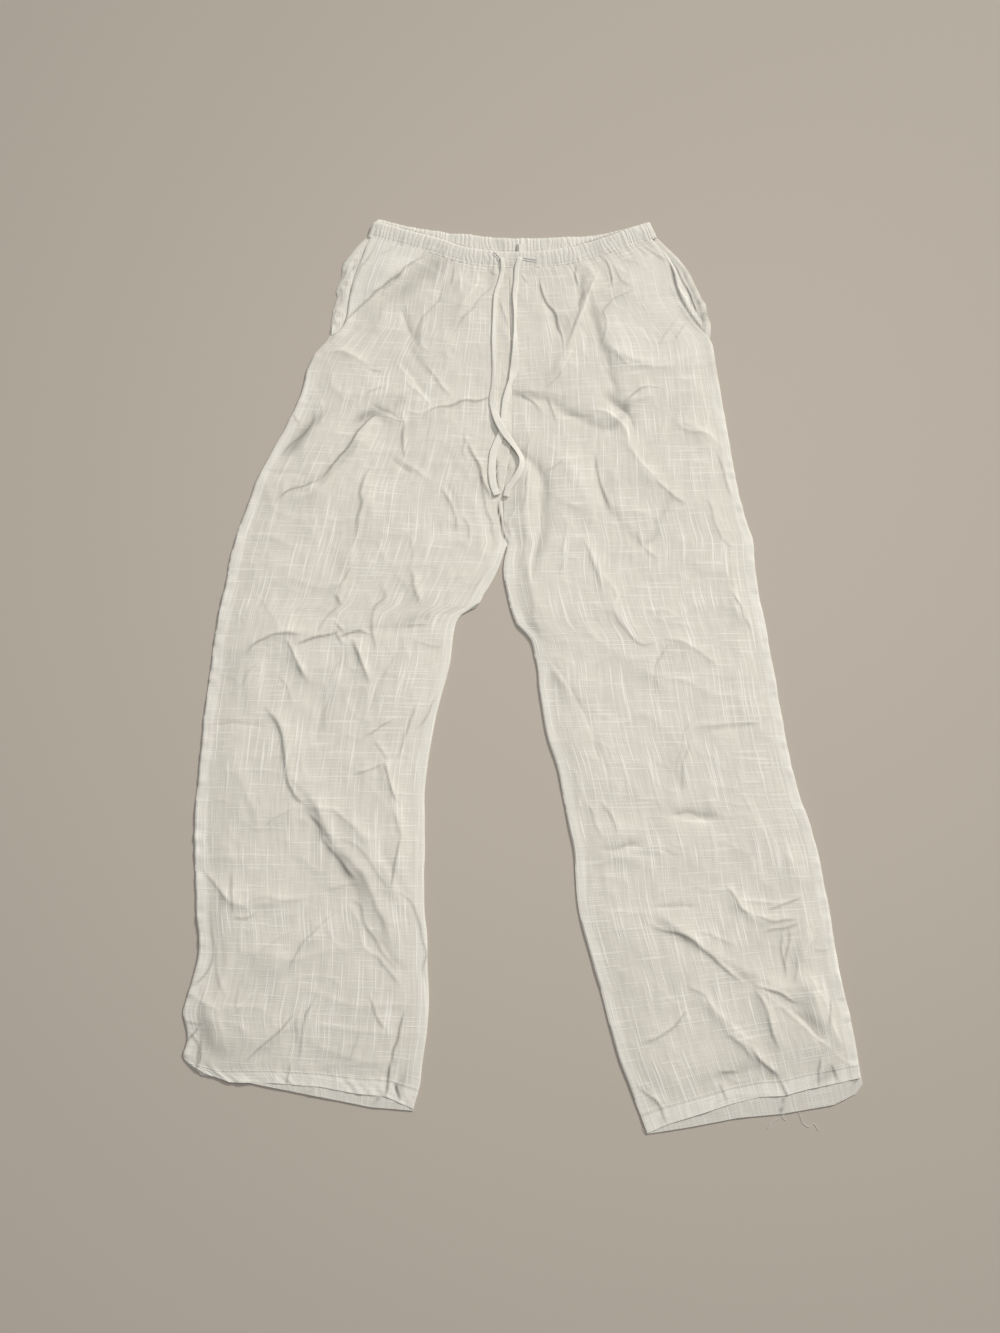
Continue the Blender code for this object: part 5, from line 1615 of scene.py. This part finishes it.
def mouthLine(grid):
    column = int(np.searchsorted(grid["fromOuter"][-30], sewing["inset"]))
    line = np.c_[grid["x"][:, column], grid["y"][:, column]][:-8]
    return line[line[:, 1] > sewing["mouthFoot"]][::6]


def buttonhole(name, slit, below, material):
    # Close turns of thread round a slit
    tree = surfaceOf(below)
    line = smoothLine(slit, sewing["slitStep"])
    normal = lineNormals(line)
    points = []
    faces = []
    for side in (-1, 1):
        for (x, y), (nx, ny) in zip(line, normal):
            turn = []
            for reach, lift in sewing["slitTurn"]:
                px = x + side * nx * reach
                py = y + side * ny * reach
                turn.append((px, py, heightOn(tree, px, py) + lift))
            evenThread(points, faces, turn, sewing["slitRadius"])
    return linkMesh(name, points, faces, material)


print("legs")
backRight = addPiece(
    backLeg("backLegRight", rightLeg, False, linen("backLinenRight", seed=11)),
    ["back_panel_r"],
)
backLeft = addPiece(
    backLeg("backLegLeft", leftLeg, True, linen("backLinenLeft", seed=15)),
    ["back_panel_l"],
)
frontRight, rightGrid = frontLeg("frontLegRight", rightLeg, False, linen("frontLinenRight", seed=1))
addPiece(frontRight, ["front_panel_r"])
frontLeft, leftGrid = frontLeg("frontLegLeft", leftLeg, True, linen("frontLinenLeft", seed=5))
addPiece(frontLeft, ["front_panel_l"])

print("pockets and casings")
bagRight = addPiece(
    pocketBag("pocketBagRight", pocket["right"], False, linen("pocketLinenRight", seed=21)),
    ["pocket_bag_r"],
)
bagLeft = addPiece(
    pocketBag("pocketBagLeft", pocket["left"], True, linen("pocketLinenLeft", seed=25, tint=1.05)),
    ["pocket_bag_l"],
)
backCasing = addPiece(
    casing("backCasing", waist["backEdge"], False, linen("backCasingLinen", seed=31)),
    ["back_waistband"],
)
frontCasing = addPiece(
    casing("frontCasing", waist["frontEdge"], True, linen("frontCasingLinen", seed=35)),
    ["front_waistband"],
)
sizeLabel = addPiece(
    foldedLabel("blankLabel", linen("labelTape", seed=41)),
    ["size_label_blank"],
)

print("stitches")
hemThreadRight = addPiece(
    stitchRow(
        "hemStitchesRight", [hemLine(rightGrid), mouthLine(rightGrid)], [frontRight],
        threadLinen("threadRight"),
    ),
    [],
)
hemThreadLeft = addPiece(
    stitchRow(
        "hemStitchesLeft", [hemLine(leftGrid), mouthLine(leftGrid)], [frontLeft],
        threadLinen("threadLeft"), sewing["looseEnds"],
    ),
    [],
)
casingLine = smoothLine(waist["frontEdge"], 4)
casingLine = (casingLine + lineNormals(casingLine) * casingCloth["stitchDepth"])[2:-2]
casingThread = addPiece(
    stitchRow("casingStitches", [casingLine, sewing["patch"]], [frontCasing], threadLinen("threadCasing")),
    [],
)
holes = [
    addPiece(buttonhole(name, slit, [frontCasing], threadLinen("threadHole")), [])
    for name, slit in zip(("buttonholeRight", "buttonholeLeft"), waist["holes"])
]

print("drawstring")
fronts = [frontRight, frontLeft, frontCasing]
tieLeft, tieLeftPath = tape(
    "drawstringLeft", drawstring["leftRoute"], drawstring["leftShape"], fronts,
    linen("tieLinenLeft", seed=51),
)
addPiece(tieLeft, ["drawstring_l"])
tieRight, tieRightPath = tape(
    "drawstringRight", drawstring["rightRoute"], drawstring["rightShape"], fronts + [tieLeft],
    linen("tieLinenRight", seed=55),
)
addPiece(tieRight, ["drawstring_r"])
